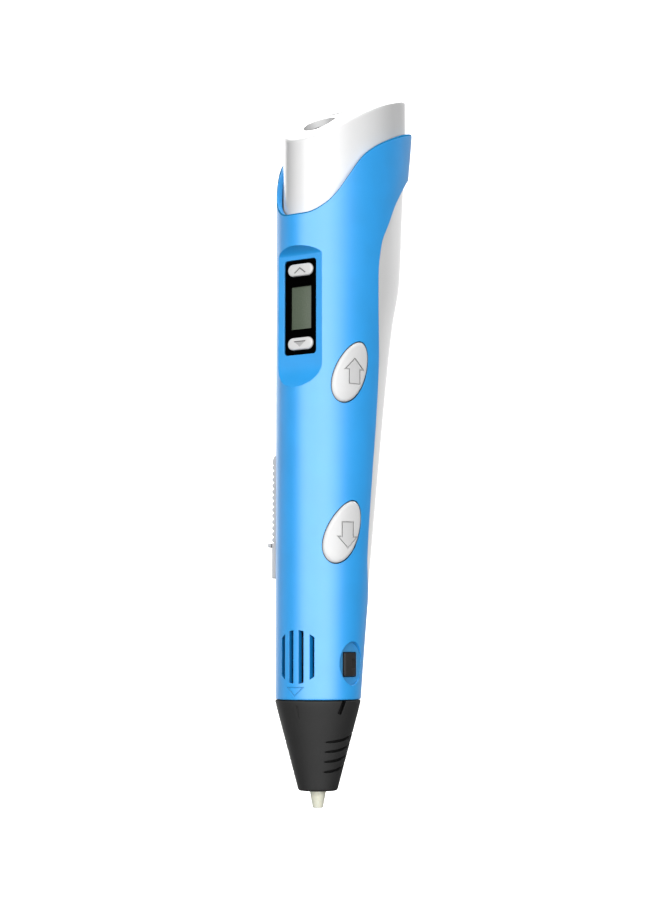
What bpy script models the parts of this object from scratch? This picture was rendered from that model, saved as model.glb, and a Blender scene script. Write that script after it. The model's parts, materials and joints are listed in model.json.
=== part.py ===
"""A hand-held 3D drawing pen, built as separate pieces.

Frame: the origin is the tip of the nozzle, on the pen's own axis. +Z runs up
the pen, -Y is the front (display, vent), +X is the side with the two oval
feed keys, -X is the side with the speed slider. Lengths are in millimetres and
are turned into metres by MM. Solids without a look are hidden cutters.
"""

import math

import bmesh
import bpy
from mathutils import Matrix, Vector

MM = 0.001
GAP = 0.3  # clearance between neighbouring pieces
FILAMENT_BORE = 1.0  # radius of the filament's way through the pen

# ======================================================== looks
BLUE = dict(colour=(0.10, 0.42, 0.90), roughness=0.35, metallic=0.0)
WHITE = dict(colour=(0.86, 0.86, 0.86), roughness=0.18, metallic=0.0)
NOSE_GREY = dict(colour=(0.035, 0.035, 0.035), roughness=0.6, metallic=0.0)
BLACK = dict(colour=(0.01, 0.01, 0.01), roughness=0.15, metallic=0.0)
CERAMIC = dict(colour=(0.72, 0.66, 0.55), roughness=0.45, metallic=0.0)
GREY = dict(colour=(0.5, 0.5, 0.5), roughness=0.4, metallic=0.0)
STEEL = dict(colour=(0.6, 0.6, 0.62), roughness=0.3, metallic=1.0)
BRASS = dict(colour=(0.75, 0.55, 0.25), roughness=0.3, metallic=1.0)
BOARD = dict(colour=(0.03, 0.22, 0.09), roughness=0.5, metallic=0.0)
PTFE = dict(colour=(0.9, 0.9, 0.88), roughness=0.3, metallic=0.0)
NATURAL = dict(colour=(0.8, 0.79, 0.72), roughness=0.45, metallic=0.0)
RED = dict(colour=(0.6, 0.03, 0.03), roughness=0.4, metallic=0.0)
SCREEN = dict(colour=(0.12, 0.15, 0.11), roughness=0.2, metallic=0.0)

# ======================================================== scene
for old in list(bpy.data.objects):
    bpy.data.objects.remove(old, do_unlink=True)

pen = bpy.data.collections.new("drawing_pen")
tools = bpy.data.collections.new("cutters")
bpy.context.scene.collection.children.link(pen)
bpy.context.scene.collection.children.link(tools)


# ======================================================== placements
def axes(x, y, z):
    """A placement whose local axes are x, y and z."""
    return Matrix((x, y, z)).transposed().to_4x4()


def shift(x, y, z=0.0):
    return Matrix.Translation((x * MM, y * MM, z * MM))


def outward(azimuth):
    """Local z points out of the pen, at degrees turned from the front towards +X; y is up."""
    angle = math.radians(azimuth)
    across, out = math.cos(angle), math.sin(angle)
    return axes((across, out, 0), (0, 0, 1), (out, -across, 0))


SIDEWAYS = axes((0, 1, 0), (0, 0, 1), (1, 0, 0))  # outlines in Y and Z, depth along X
FACING = outward(0)  # outlines in X and Z, depth towards the front


# ======================================================== curves and outlines
def slopes(table):
    """Slopes at each station that keep a curve through them from overshooting."""
    steps = [(b[1] - a[1]) / (b[0] - a[0]) for a, b in zip(table, table[1:])]
    inner = [0.0 if p * q <= 0 else 2 * p * q / (p + q) for p, q in zip(steps, steps[1:])]
    return [steps[0]] + inner + [steps[-1]]


def smooth(table, x):
    """Value at x of the smooth curve through the stations, constant beyond its ends."""
    x = min(max(x, table[0][0]), table[-1][0])
    i = next(i for i in range(len(table) - 1) if x <= table[i + 1][0])
    (x0, y0), (x1, y1) = table[i:i + 2]
    slope0, slope1 = slopes(table)[i:i + 2]
    width = x1 - x0
    t = (x - x0) / width
    return (y0 * (1 + 2 * t) * (1 - t) ** 2 + slope0 * width * t * (1 - t) ** 2
            + y1 * t * t * (3 - 2 * t) + slope1 * width * t * t * (t - 1))


def spread(low, high, count):
    return [low + (high - low) * i / (count - 1) for i in range(count)]


def sampled(table, count):
    """Evenly spaced points on the smooth curve through a table."""
    return [(x, smooth(table, x)) for x in spread(table[0][0], table[-1][0], count)]


def offset_line(line, distance):
    """The line moved sideways to its left."""
    moved = []
    for i, point in enumerate(line):
        before, after = line[max(i - 1, 0)], line[min(i + 1, len(line) - 1)]
        along = Vector((after[0] - before[0], after[1] - before[1])).normalized()
        moved.append((point[0] - along.y * distance, point[1] + along.x * distance))
    return moved


def centred(middle, half):
    return middle - half, middle + half


def rectangle(x_span, y_span):
    (x0, x1), (y0, y1) = x_span, y_span
    return [(x0, y0), (x1, y0), (x1, y1), (x0, y1)]


def rounded_rectangle(x, y, wide, tall, radius, steps=5):
    outline = []
    for quarter, (side_x, side_y) in enumerate(((1, 1), (-1, 1), (-1, -1), (1, -1))):
        for i in range(steps + 1):
            angle = math.pi / 2 * (quarter + i / steps)
            outline.append((x + side_x * (wide / 2 - radius) + radius * math.cos(angle),
                            y + side_y * (tall / 2 - radius) + radius * math.sin(angle)))
    return outline


def circle(x, y, radius, count):
    angles = [2 * math.pi * i / count for i in range(count)]
    return [(x + radius * math.cos(a), y + radius * math.sin(a)) for a in angles]


def leaning_ellipse(long, short, tilt, x, y, count=40):
    """An ellipse whose long axis leans from vertical towards +x by tilt."""
    return [(x + u * math.sin(tilt) - v * math.cos(tilt), y + u * math.cos(tilt) + v * math.sin(tilt))
            for u, v in ((long * math.cos(a), short * math.sin(a))
                         for a in (2 * math.pi * i / count for i in range(count)))]


def level_oval(z, y_front, y_back, half_width, count):
    """A level ellipse between two Y values, starting at the front."""
    middle, reach = (y_front + y_back) / 2, (y_back - y_front) / 2
    angles = [2 * math.pi * i / count for i in range(count)]
    return [(half_width * math.sin(a), middle - reach * math.cos(a), z) for a in angles]


def bend(points, radius=2.0, steps=4):
    """Rounds the corners of a path."""
    path = [Vector(points[0])]
    for triple in zip(points, points[1:], points[2:]):
        before, corner, after = (Vector(p) for p in triple)
        cut_back = min(radius, (corner - before).length * 0.45, (after - corner).length * 0.45)
        start = corner + (before - corner).normalized() * cut_back
        end = corner + (after - corner).normalized() * cut_back
        for i in range(steps + 1):
            t = i / steps
            path.append(start * (1 - t) ** 2 + corner * 2 * t * (1 - t) + end * t * t)
    return path + [Vector(points[-1])]


# ======================================================== making solids
def finish(name, colour, roughness, metallic):
    material = bpy.data.materials.new(name)
    material.use_nodes = True
    inputs = material.node_tree.nodes["Principled BSDF"].inputs
    inputs["Base Color"].default_value = (*colour, 1.0)
    inputs["Roughness"].default_value = roughness
    inputs["Metallic"].default_value = metallic
    return material


def add(name, data, look, place):
    """Adds a piece of the pen, or a hidden cutter if it has no look."""
    obj = bpy.data.objects.new(name, data)
    if place is not None:
        obj.matrix_world = place
    if look is None:
        tools.objects.link(obj)
        obj.hide_render = True
        obj.display_type = "WIRE"
    else:
        pen.objects.link(obj)
        data.materials.append(finish(name, **look))
    return obj


def add_solid(name, bm, look, place=None):
    bmesh.ops.remove_doubles(bm, verts=bm.verts, dist=1e-7)
    bmesh.ops.recalc_face_normals(bm, faces=bm.faces)
    mesh = bpy.data.meshes.new(name)
    bm.to_mesh(mesh)
    bm.free()
    obj = add(name, mesh, look, place)
    if look is not None:
        mesh.shade_smooth()
        mesh.set_sharp_from_angle(angle=math.radians(35))
    return obj


def skin(name, rings, look=None, closed=False):
    """A loft through rings of equal length, capped at its ends, or closed end to end."""
    bm = bmesh.new()
    rows = [[bm.verts.new((x * MM, y * MM, z * MM)) for x, y, z in ring] for ring in rings]
    pairs = list(zip(rows, rows[1:]))
    if closed:
        pairs.append((rows[-1], rows[0]))
    for low, high in pairs:
        for i in range(len(low)):
            j = (i + 1) % len(low)
            bm.faces.new((low[i], low[j], high[j], high[i]))
    if not closed:
        bm.faces.new(rows[0][::-1])
        bm.faces.new(rows[-1])
    return add_solid(name, bm, look)


def slab(name, outline, depth, place, look=None):
    """An outline in a local XY plane, extruded over a span of local Z."""
    bm = bmesh.new()
    face = bm.faces.new([bm.verts.new((x * MM, y * MM, depth[0] * MM)) for x, y in outline])
    made = bmesh.ops.extrude_face_region(bm, geom=[face])
    top = [v for v in made["geom"] if isinstance(v, bmesh.types.BMVert)]
    bmesh.ops.translate(bm, verts=top, vec=(0, 0, (depth[1] - depth[0]) * MM))
    return add_solid(name, bm, look, place)


def side_cutter(name, outline):
    """An outline in Y and Z, cut through the whole width of the pen."""
    return slab(name, outline, (-30, 30), SIDEWAYS)


def box(name, corners, look=None, place=None):
    """A box between two opposite corners, the lower one first."""
    bm = bmesh.new()
    bmesh.ops.create_cube(bm, size=1.0)
    bmesh.ops.scale(bm, vec=[(b - a) * MM for a, b in zip(*corners)], verts=bm.verts)
    bmesh.ops.translate(bm, vec=[(a + b) / 2 * MM for a, b in zip(*corners)], verts=bm.verts)
    return add_solid(name, bm, look, place)


def rod(name, radius, span, look=None, place=None, segments=24, at=(0, 0)):
    """A cylinder along local Z."""
    low, high = span
    bm = bmesh.new()
    bmesh.ops.create_cone(bm, cap_ends=True, segments=segments, radius1=radius * MM,
                          radius2=radius * MM, depth=(high - low) * MM)
    bmesh.ops.translate(bm, vec=(at[0] * MM, at[1] * MM, (low + high) / 2 * MM), verts=bm.verts)
    return add_solid(name, bm, look, place)


def turned(name, profile, look, place=None, steps=24, closed=True):
    """A profile of (radius, height) turned about local Z; an open one ends on the axis."""
    bm = bmesh.new()
    verts = [bm.verts.new((radius * MM, 0, z * MM)) for radius, z in profile]
    for a, b in zip(verts, verts[1:]):
        bm.edges.new((a, b))
    if closed:
        bm.edges.new((verts[-1], verts[0]))
    mesh = bpy.data.meshes.new(name)
    bm.to_mesh(mesh)
    bm.free()
    obj = add(name, mesh, look, place)
    screw = obj.modifiers.new("Turn", "SCREW")
    screw.axis = "Z"
    screw.steps = screw.render_steps = steps
    screw.use_merge_vertices = True
    screw.merge_threshold = 1e-6
    screw.use_smooth_shade = True
    return obj


def sleeve(name, outer, inner, span, look, steps=24):
    low, high = span
    profile = ((outer, high), (outer, low), (inner, low), (inner, high))
    return turned(name, profile, look, steps=steps)


def tube(name, path, outer, inner, look, count=12):
    """A bored tube swept along a path in the YZ plane."""
    side = Vector((1, 0, 0))
    angles = [2 * math.pi * k / count for k in range(count)]
    walls = {outer: [], inner: []}
    for i, point in enumerate(path):
        before, after = Vector(path[max(i - 1, 0)]), Vector(path[min(i + 1, len(path) - 1)])
        other = (after - before).normalized().cross(side)
        for radius, rings in walls.items():
            rings.append([Vector(point) + side * radius * math.cos(a) + other * radius * math.sin(a)
                          for a in angles])
    return skin(name, walls[outer] + walls[inner][::-1], look, closed=True)


def wire(name, points, radius, look):
    """A thin cable along straight runs, with filled ends."""
    curve = bpy.data.curves.new(name, "CURVE")
    curve.dimensions = "3D"
    curve.bevel_depth = radius * MM
    curve.bevel_resolution = 1
    curve.use_fill_caps = True
    line = curve.splines.new("POLY")
    line.points.add(len(points) - 1)
    for target, (x, y, z) in zip(line.points, points):
        target.co = (x * MM, y * MM, z * MM, 1)
    return add(name, curve, look, None)


def boolean(obj, other, operation):
    modifier = obj.modifiers.new(operation.title(), "BOOLEAN")
    modifier.operation = operation
    modifier.solver = "EXACT"
    modifier.object = other


def cut(obj, *others):
    for other in others:
        boolean(obj, other, "DIFFERENCE")


def fuse(obj, *others):
    for other in others:
        boolean(obj, other, "UNION")


def keep(obj, region):
    boolean(obj, region, "INTERSECT")


# ======================================================== casing solids
FRONT_Y = -10.6  # the front line of the casing
WALL = 1.5
# back line (Z, Y) and half width (Z, X) of the rear casing
BACK = ((22, 10.0), (30, 11.0), (60, 15.3), (90, 20.2), (112, 24.1), (122, 26.3),
        (132, 29.4), (138, 30.2), (150, 31.1), (168, 32.7), (190, 34.4))
HALF = ((22, 10.4), (40, 10.8), (70, 11.6), (100, 12.4), (122, 13.05), (134, 13.5),
        (168, 13.9), (190, 14.1))
# the same for the coloured cover, whose collar spreads out at the top
COVER_BACK = ((22, 10.2), (30, 11.2), (60, 15.5), (90, 20.4), (112, 24.3), (122, 26.5),
              (132, 29.6), (138, 30.6), (150, 32.3), (162, 34.2), (174, 36.0), (190, 37.4))
COVER_HALF = ((22, 10.45), (40, 10.85), (70, 11.65), (100, 12.45), (122, 13.1),
              (134, 13.6), (150, 14.0), (162, 14.3), (174, 14.55), (190, 14.7))
# upper rim of the cover (Y, Z), from the front to the back
RIM = ((-16, 145.8), (-10.6, 145.9), (-7.8, 148.0), (-5.2, 151.7), (-3.4, 155.0),
       (-1.9, 157.7), (0.0, 160.5), (2.1, 162.7), (6.8, 165.9), (12.9, 168.7),
       (19.7, 171.1), (28.0, 173.5), (40.0, 176.0))
# parting line between the cover and the rear casing: side run (Z, Y)
PART_SIDE = ((46.0, 12.4), (47.2, 10.9), (50.0, 8.9), (55.0, 6.7), (61.4, 5.4), (81.5, 6.7),
             (96.7, 8.1), (109.5, 8.6), (123.9, 7.7), (133.3, 7.3), (140.8, 8.4),
             (146.4, 11.5), (152.1, 15.0), (156.1, 18.7))
# and its top run, under the collar (Y, Z)
PART_TOP = ((18.7, 156.1), (23.3, 159.7), (29.0, 162.2), (42.0, 165.5))
PART_TOP_START_Y = 19.6
PART_BOTTOM_Z = 45.2
BEYOND_BACK = 42  # Y clear behind every piece
# heights of the lofted sections; the first and last only serve solids that run past the shells
SECTIONS = (20, 26.5, 34, 42, 52, 62, 74, 86, 98, 108, 116, 122, 127, 131, 134, 137, 142, 150,
            160, 170, 184)
# thickening left behind the display pocket (Y, Z)
POCKET_BACKING = ((-6.6, 109.6), (-6.6, 138.6), (-9.1, 140.7), (-14, 145), (-14, 96),
                  (-9.1, 101.9))


def casing_rings(back, half, heights, grow=0.0):
    return [level_oval(z, FRONT_Y - grow, smooth(back, z) + grow, smooth(half, z) + grow, 48)
            for z in heights]


def parting_line():
    """The parting line (Y, Z), from the top at the back down to the bottom at the back."""
    top = [(y, smooth(PART_TOP, y)) for y in spread(BEYOND_BACK, PART_TOP_START_Y, 8)]
    side = [(y, z) for z, y in sampled(PART_SIDE, 36)][::-1]
    bottom = [(14.5, PART_BOTTOM_Z + 0.25), (20, PART_BOTTOM_Z), (BEYOND_BACK, PART_BOTTOM_Z)]
    return top + side + bottom


def cover_outline():
    rim = [(y, smooth(RIM, y)) for y in spread(RIM[0][0], BEYOND_BACK, 40)]
    return rim + parting_line() + [(BEYOND_BACK, 12), (RIM[0][0], 12)]


cavity = skin("cavity", casing_rings(BACK, HALF, SECTIONS, -WALL))
cut(cavity, side_cutter("pocket_back", POCKET_BACKING))

front_shell = skin("front_shell", casing_rings(COVER_BACK, COVER_HALF, SECTIONS[1:]), BLUE)
cut(front_shell, cavity)
keep(front_shell, side_cutter("cover_region", cover_outline()))

rear_shell = skin("rear_shell", casing_rings(BACK, HALF, SECTIONS[3:-1]), WHITE)
cut(rear_shell, cavity)
keep(rear_shell, side_cutter("rear_region", offset_line(parting_line(), GAP)))

# ======================================================== top cap
CAP_FRONT, CAP_BACK, CAP_HALF = -8.6, 34.2, 12.85
CAP_WALL, CAP_ROOF = 1.4, 1.9
# upper and lower faces of the cap (Y, Z)
CAP_TOP = ((-14, 163.2), (-8.6, 165.3), (-5.0, 167.6), (0.2, 171.3), (5.3, 174.2),
           (9.5, 176.3), (13.6, 178.0), (18.7, 179.8), (24.0, 181.2), (30.0, 182.9),
           (34.2, 183.9), (42.0, 185.4))
CAP_BOTTOM = ((-14, 141.5), (5.0, 147.5), (11.0, 150.2), (15.0, 155.0), (18.7, 159.0),
              (23.3, 162.6), (29.0, 165.0), (42.0, 168.3))
CAP_OUTER_Y = CAP_TOP[0][0]  # clear in front of the cap
PORT_Y, PORT_R = 0.5, 4.1
INLET_Y, INLET_R = 8.5, 1.9
THROUGH_CAP = (155, 195)

cap_top_line = sampled(CAP_TOP, 30)
cap_low_line = sampled(CAP_BOTTOM, 30)


def cap_rings(heights, grow=0.0):
    return [level_oval(z, CAP_FRONT - grow, CAP_BACK + grow, CAP_HALF + grow, 64)
            for z in heights]


def cap_hollow():
    hollow = skin("cap_hollow", cap_rings((130, 194), -CAP_WALL))
    ceiling = [(y, z - CAP_ROOF) for y, z in cap_top_line]
    keep(hollow, side_cutter("cap_roof", ceiling + [(BEYOND_BACK, 120), (CAP_OUTER_Y, 120)]))
    return hollow


def cap_room():
    """The cap grown by the clearance, open upwards, to be cleared out of the cover."""
    room = skin("cap_room", cap_rings((136, 194), GAP))
    floor = [(y, z - GAP) for y, z in cap_low_line]
    keep(room, side_cutter("cap_room_region", floor + [(BEYOND_BACK, 200), (CAP_OUTER_Y, 200)]))
    return room


top_cap = skin("top_cap", cap_rings((138, 164, 190)), WHITE)
keep(top_cap, side_cutter("cap_region", cap_top_line + cap_low_line[::-1]))
cut(top_cap, cap_hollow(),
    rod("port_hole", PORT_R, THROUGH_CAP, at=(0, PORT_Y), segments=40),
    rod("inlet_hole", INLET_R, THROUGH_CAP, at=(0, INLET_Y), segments=28))
cut(front_shell, cap_room())

# ======================================================== display and key openings
# side view of the recess round the display (Y, Z)
POCKET_Y = -8.1
POCKET = ((POCKET_Y, 111.0), (FRONT_Y, 103.4), (-13.2, 95.5), (-18, 95.5), (-18, 140.8),
          (-13.2, 140.6), (FRONT_Y, 138.5), (POCKET_Y, 136.5))
WINDOW_WIDE, WINDOW_LOW, WINDOW_HIGH = 9.6, 111.5, 135.5
WINDOW_Z, WINDOW_TALL = (WINDOW_LOW + WINDOW_HIGH) / 2, WINDOW_HIGH - WINDOW_LOW

KEY_PLACE = outward(65)
KEY_LONG, KEY_SHORT, KEY_TILT = 8.25, 4.4, math.radians(26.0)
KEYS = (("feed", 1.1, 67.4), ("retract", 3.2, 107.1))  # name, centre across, centre Z


def key_oval(x, z, grow=0.0):
    return leaning_ellipse(KEY_LONG + grow, KEY_SHORT + grow, KEY_TILT, x, z)


window = rounded_rectangle(0, WINDOW_Z, WINDOW_WIDE, WINDOW_TALL, 0.9)
cut(front_shell, side_cutter("pocket", POCKET), slab("window", window, (3, 15), FACING))
for key, x, z in KEYS:
    cut(front_shell, slab(f"{key}_hole", key_oval(x, z, GAP), (5.2, 20), KEY_PLACE))

# ======================================================== vent and latch openings
VENT_Z, VENT_R, VENT_SIDE = 36.9, 6.5, 4.8
BAR_WIDE, BAR_PITCH = 1.45, 2.75
LATCH_PLACE = outward(81)
LATCH_X = 0.35  # across, in the latch's own placement
LATCH_LOW, LATCH_HIGH, LATCH_WIDE = 32.0, 38.1, 4.6
LATCH_Z = (LATCH_LOW + LATCH_HIGH) / 2
SCOOP_R, SCOOP_RISE, SCOOP_FLOOR = 5.2, 0.25, 10.0


def vent_slot(left, right):
    """One slot between bars, clipped by the round grille."""
    upper = [(x, math.sqrt(VENT_R ** 2 - x * x)) for x in spread(left, right, 4)]
    return ([(x, VENT_Z + half) for x, half in upper]
            + [(x, VENT_Z - half) for x, half in reversed(upper)])


bar_edges = [BAR_PITCH * k + side * BAR_WIDE / 2 for k in (-1, 0, 1) for side in (-1, 1)]
slot_edges = [-VENT_SIDE] + bar_edges + [VENT_SIDE]
for i, (left, right) in enumerate(zip(slot_edges[::2], slot_edges[1::2])):
    cut(front_shell, slab(f"vent_slot_{i}", vent_slot(left, right), (6.9, 15), FACING))

scoop = circle(LATCH_X, LATCH_Z + SCOOP_RISE, SCOOP_R, 36)
latch_window = rounded_rectangle(LATCH_X, LATCH_Z, LATCH_WIDE, LATCH_HIGH - LATCH_LOW, 0.4, 3)
cut(front_shell, slab("scoop", scoop, (SCOOP_FLOOR, 16), LATCH_PLACE),
    slab("latch_window", latch_window, (6, 16), LATCH_PLACE))

# ======================================================== speed slider
SLIDE_ANGLE = math.radians(70.0)  # from the front towards -X
SLIDE_SIN, SLIDE_COS = math.sin(SLIDE_ANGLE), math.cos(SLIDE_ANGLE)
# outlines in distance outwards and Z, depth across the strip
SLIDE_PLACE = axes((-SLIDE_SIN, -SLIDE_COS, 0), (0, 0, 1), (-SLIDE_COS, SLIDE_SIN, 0))
SLIDE_MIDDLE = 1.5  # middle of the strip across
TRACK_LOW, TRACK_HIGH, TRACK_HALF = 57.4, 88.3, 2.2
TRACK_DEEP, TRACK_FACE = 9.5, 11.75
RIBS, RIB_START, RIB_PITCH, RIB_DEPTH = 13, 67.0, 1.52, 0.45
KNOB_Z = 65.6


def slide_slab(name, out_span, z_span, half_width, look=None):
    return slab(name, rectangle(out_span, z_span), centred(SLIDE_MIDDLE, half_width),
                SLIDE_PLACE, look)


def track_profile():
    """Side view of the strip: a plain lower end, a run of ribs, then a tapered upper end."""
    face, valley = TRACK_FACE, TRACK_FACE - RIB_DEPTH
    line = [(TRACK_DEEP, TRACK_LOW), (face, TRACK_LOW), (face, RIB_START - RIB_PITCH / 2)]
    for k in range(RIBS):
        z = RIB_START + k * RIB_PITCH
        line += [(valley, z - 0.45), (face, z - 0.15), (face, z + 0.35), (valley, z + 0.65)]
    end = RIB_START + RIBS * RIB_PITCH
    return line + [(face - 0.1, end), (face - 0.75, TRACK_HIGH), (TRACK_DEEP, TRACK_HIGH)]


cut(front_shell, slide_slab("track_hole", (6.5, 16), (TRACK_LOW - GAP, TRACK_HIGH + GAP),
                            TRACK_HALF + GAP))

track = slab("speed_track", track_profile(), centred(SLIDE_MIDDLE, TRACK_HALF), SLIDE_PLACE, GREY)
cut(track, slide_slab("track_slot", (5, 16), (64.3, 86.9), 0.75))

knob = slide_slab("speed_slider", (12.05, 12.9), centred(KNOB_Z, 0.5), 1.9, GREY)
fuse(knob, slide_slab("knob_neck", (8.2, 12.4), centred(KNOB_Z, 0.45), 0.45),
     slide_slab("knob_foot", (7.95, 8.6), centred(KNOB_Z, 1.6), 1.5))

potentiometer = slide_slab("slide_potentiometer", (5.2, 7.6), (60.0, 91.0), 2.0, STEEL)
cut(potentiometer, slide_slab("pot_slot", (6.6, 9), (62.0, 89.0), 0.9))
slide_slab("pot_wiper", (6.9, 7.65), centred(KNOB_Z, 0.9), 0.55, BRASS)

# ======================================================== nose
NOSE_TOP, NOSE_R, NOSE_TIP_Z, NOSE_TIP_R, NOSE_CHAMFER = 26.2, 10.65, 4.2, 4.8, 0.3
SPIGOT_R, SPIGOT_INNER, SPIGOT_TOP = 8.8, 7.75, 30.0
NOSE_PROFILE = ((SPIGOT_R, SPIGOT_TOP), (SPIGOT_R, NOSE_TOP), (NOSE_R - NOSE_CHAMFER, NOSE_TOP),
                (NOSE_R, NOSE_TOP - NOSE_CHAMFER), (NOSE_TIP_R, NOSE_TIP_Z), (2.6, NOSE_TIP_Z),
                (2.6, 5.4), (3.6, 5.4), (SPIGOT_INNER, 22.5), (SPIGOT_INNER, SPIGOT_TOP))
GRIP_HEIGHTS = (16.0, 13.4, 10.9, 8.5)
GRIP_FROM, GRIP_TO = 44, 118  # degrees from the front
GRIP_LIFT, GRIP_DEPTH, GRIP_HALF = 2.2, 0.5, 0.4


def nose_radius(z):
    height = NOSE_TOP - NOSE_CHAMFER - NOSE_TIP_Z
    return NOSE_TIP_R + (NOSE_R - NOSE_TIP_R) * (z - NOSE_TIP_Z) / height


def grip_groove(name, z_start, side):
    """A shallow band round part of the cone that climbs towards the back."""
    rings = []
    for t in spread(0, 1, 9):
        angle = math.radians(side * (GRIP_FROM + (GRIP_TO - GRIP_FROM) * t))
        z = z_start + GRIP_LIFT * t * t
        floor, clear = nose_radius(z) - GRIP_DEPTH, nose_radius(z) + 1.2
        section = ((floor, -GRIP_HALF), (clear, -GRIP_HALF - 0.25),
                   (clear, GRIP_HALF + 0.25), (floor, GRIP_HALF))
        rings.append([(r * math.sin(angle), -r * math.cos(angle), z + rise)
                      for r, rise in section])
    return skin(name, rings)


nose = turned("nose_cone", NOSE_PROFILE, NOSE_GREY, steps=40)
for k, z in enumerate(GRIP_HEIGHTS):
    for side in (1, -1):
        cut(nose, grip_groove(f"grip_{k}_{side}", z, side))

LATCH_PLATE_Z = (31.4, 39.0)
latch = slab("nose_release_latch", rectangle(centred(LATCH_X, 2.2), LATCH_PLATE_Z), (7.4, 8.4),
             LATCH_PLACE, BLACK)
fuse(latch, box("latch_leg", ((LATCH_X - 1.2, SPIGOT_TOP + GAP, 7.45),
                              (LATCH_X + 1.2, LATCH_PLATE_Z[0] + 0.5, 8.35)), place=LATCH_PLACE))

# ======================================================== hot end
NOZZLE_PROFILE = ((1.26, 0), (0.35, 0), (0.35, 1.6), (FILAMENT_BORE, 3.0), (FILAMENT_BORE, 11.7),
                  (2.2, 11.7), (2.2, 5.2), (2.04, 4.2))
HEATER_PROFILE = ((3.3, 20.0), (3.3, 7.0), (2.5, 7.0), (2.5, 12.0), (FILAMENT_BORE, 12.0),
                  (FILAMENT_BORE, 20.0))
HEATER_WIRE_X, HEATER_WIRE_Y = 4.5, 3.5  # where the heater wires pass the mount

turned("ceramic_nozzle", NOZZLE_PROFILE, CERAMIC)
turned("heater_core", HEATER_PROFILE, BRASS)
rod("thermistor_bead", 0.55, (12.0, 16.0), STEEL, at=(-4.2, 0), segments=12)
sleeve("heat_break_tube", 2.0, FILAMENT_BORE, (20.3, 43.2), STEEL)
mount = sleeve("hot_end_mount", 6.9, 2.3, (26.6, 30.2), NATURAL, steps=32)
for side in (1, -1):
    cut(mount, rod(f"wire_pass_{side}", 0.9, (20, 40), segments=16,
                   at=(side * HEATER_WIRE_X, HEATER_WIRE_Y)))

# ======================================================== fan
FAN_Z, FAN_HALF = 36.8, 6
FAN_BACK, FAN_FRONT = 3.4, 6.4  # depth from the axis towards the front
IMPELLER_DEPTH = 5.3
IMPELLER_PLACE = shift(0, -IMPELLER_DEPTH, FAN_Z) @ FACING  # its origin is on its own axis
BLADES, BLADE_PITCH = 7, math.radians(38)

fan_frame = box("fan_frame", ((-FAN_HALF, FAN_Z - FAN_HALF, FAN_BACK),
                              (FAN_HALF, FAN_Z + FAN_HALF, FAN_FRONT)), NOSE_GREY, FACING)
cut(fan_frame, slab("fan_bore", circle(0, FAN_Z, 5.4, 36), (FAN_BACK - 1, FAN_FRONT + 1), FACING))
fuse(fan_frame,
     box("fan_strut", ((-5.7, FAN_Z - 0.6, FAN_BACK + 0.02), (5.7, FAN_Z + 0.6, FAN_BACK + 0.6)),
         place=FACING),
     slab("fan_seat", circle(0, FAN_Z, 2.2, 20), (FAN_BACK + 0.01, FAN_BACK + 0.65), FACING))

impeller = rod("fan_impeller", 2.2, (-0.9, 0.9), BLACK, IMPELLER_PLACE, 28)
for k in range(BLADES):
    turn = Matrix.Rotation(2 * math.pi * k / BLADES, 4, "Z")
    pitch = Matrix.Rotation(BLADE_PITCH, 4, "X")
    fuse(impeller, box(f"blade_{k}", ((1.6, -1.0, -0.22), (4.9, 1.0, 0.22)),
                       place=IMPELLER_PLACE @ turn @ pitch))

# ======================================================== feed drive
MODULE = 0.5
NUT_TEETH, PINION_TEETH = 18, 12
TOOTH_RISE, TOOTH_FALL = 0.92 * MODULE, 1.15 * MODULE  # beyond and within the pitch circle
TOOTH_EASE = 0.06  # taken off each flank at the pitch circle
DRIVE_Y = MODULE * (NUT_TEETH + PINION_TEETH) / 2
GEAR_SPAN = (47.4, 51.6)
BRACKET_HALF, BRACKET_FRONT, BRACKET_BACK = 6.6, -4.2, 8.0
BRACKET_LOW, BRACKET_HIGH, BRACKET_SIDE = 44.6, 54.4, 1.0
BEARINGS = (("lower", (44.7, 46.1)), ("upper", (52.9, 54.3)))
SHAFT_HOLES = (("shaft_low", (40, 46.9)), ("shaft_high", (52, 60)))
MOTOR_R, MOTOR_LOW, MOTOR_HIGH = 5.0, 64.3, 84.9
MOTOR_PROFILE = ((0, MOTOR_HIGH), (1.6, MOTOR_HIGH), (1.6, 84.0), (MOTOR_R - 0.4, 84.0),
                 (MOTOR_R, 83.6), (MOTOR_R, MOTOR_LOW), (0, MOTOR_LOW))
DRIVE_PLACE = shift(0, DRIVE_Y)
# a tooth of the pinion points at the nut gear, and a gap of the nut gear points at the pinion
NUT_TURN = Matrix.Rotation(math.pi / 2 + math.pi / NUT_TEETH, 4, "Z")
PINION_TURN = Matrix.Rotation(-math.pi / 2, 4, "Z")


def gear_outline(teeth):
    """A straight-flanked tooth outline with its pitch circle at module * teeth / 2."""
    pitch_radius = MODULE * teeth / 2
    outer, root = pitch_radius + TOOTH_RISE, pitch_radius - TOOTH_FALL
    step = 2 * math.pi / teeth
    half = step / 4 - TOOTH_EASE / pitch_radius
    tooth = ((root, -half * 1.55), (outer, -half * 0.5), (outer, half * 0.5), (root, half * 1.55))
    return [(r * math.cos(k * step + a), r * math.sin(k * step + a))
            for k in range(teeth) for r, a in tooth]


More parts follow.
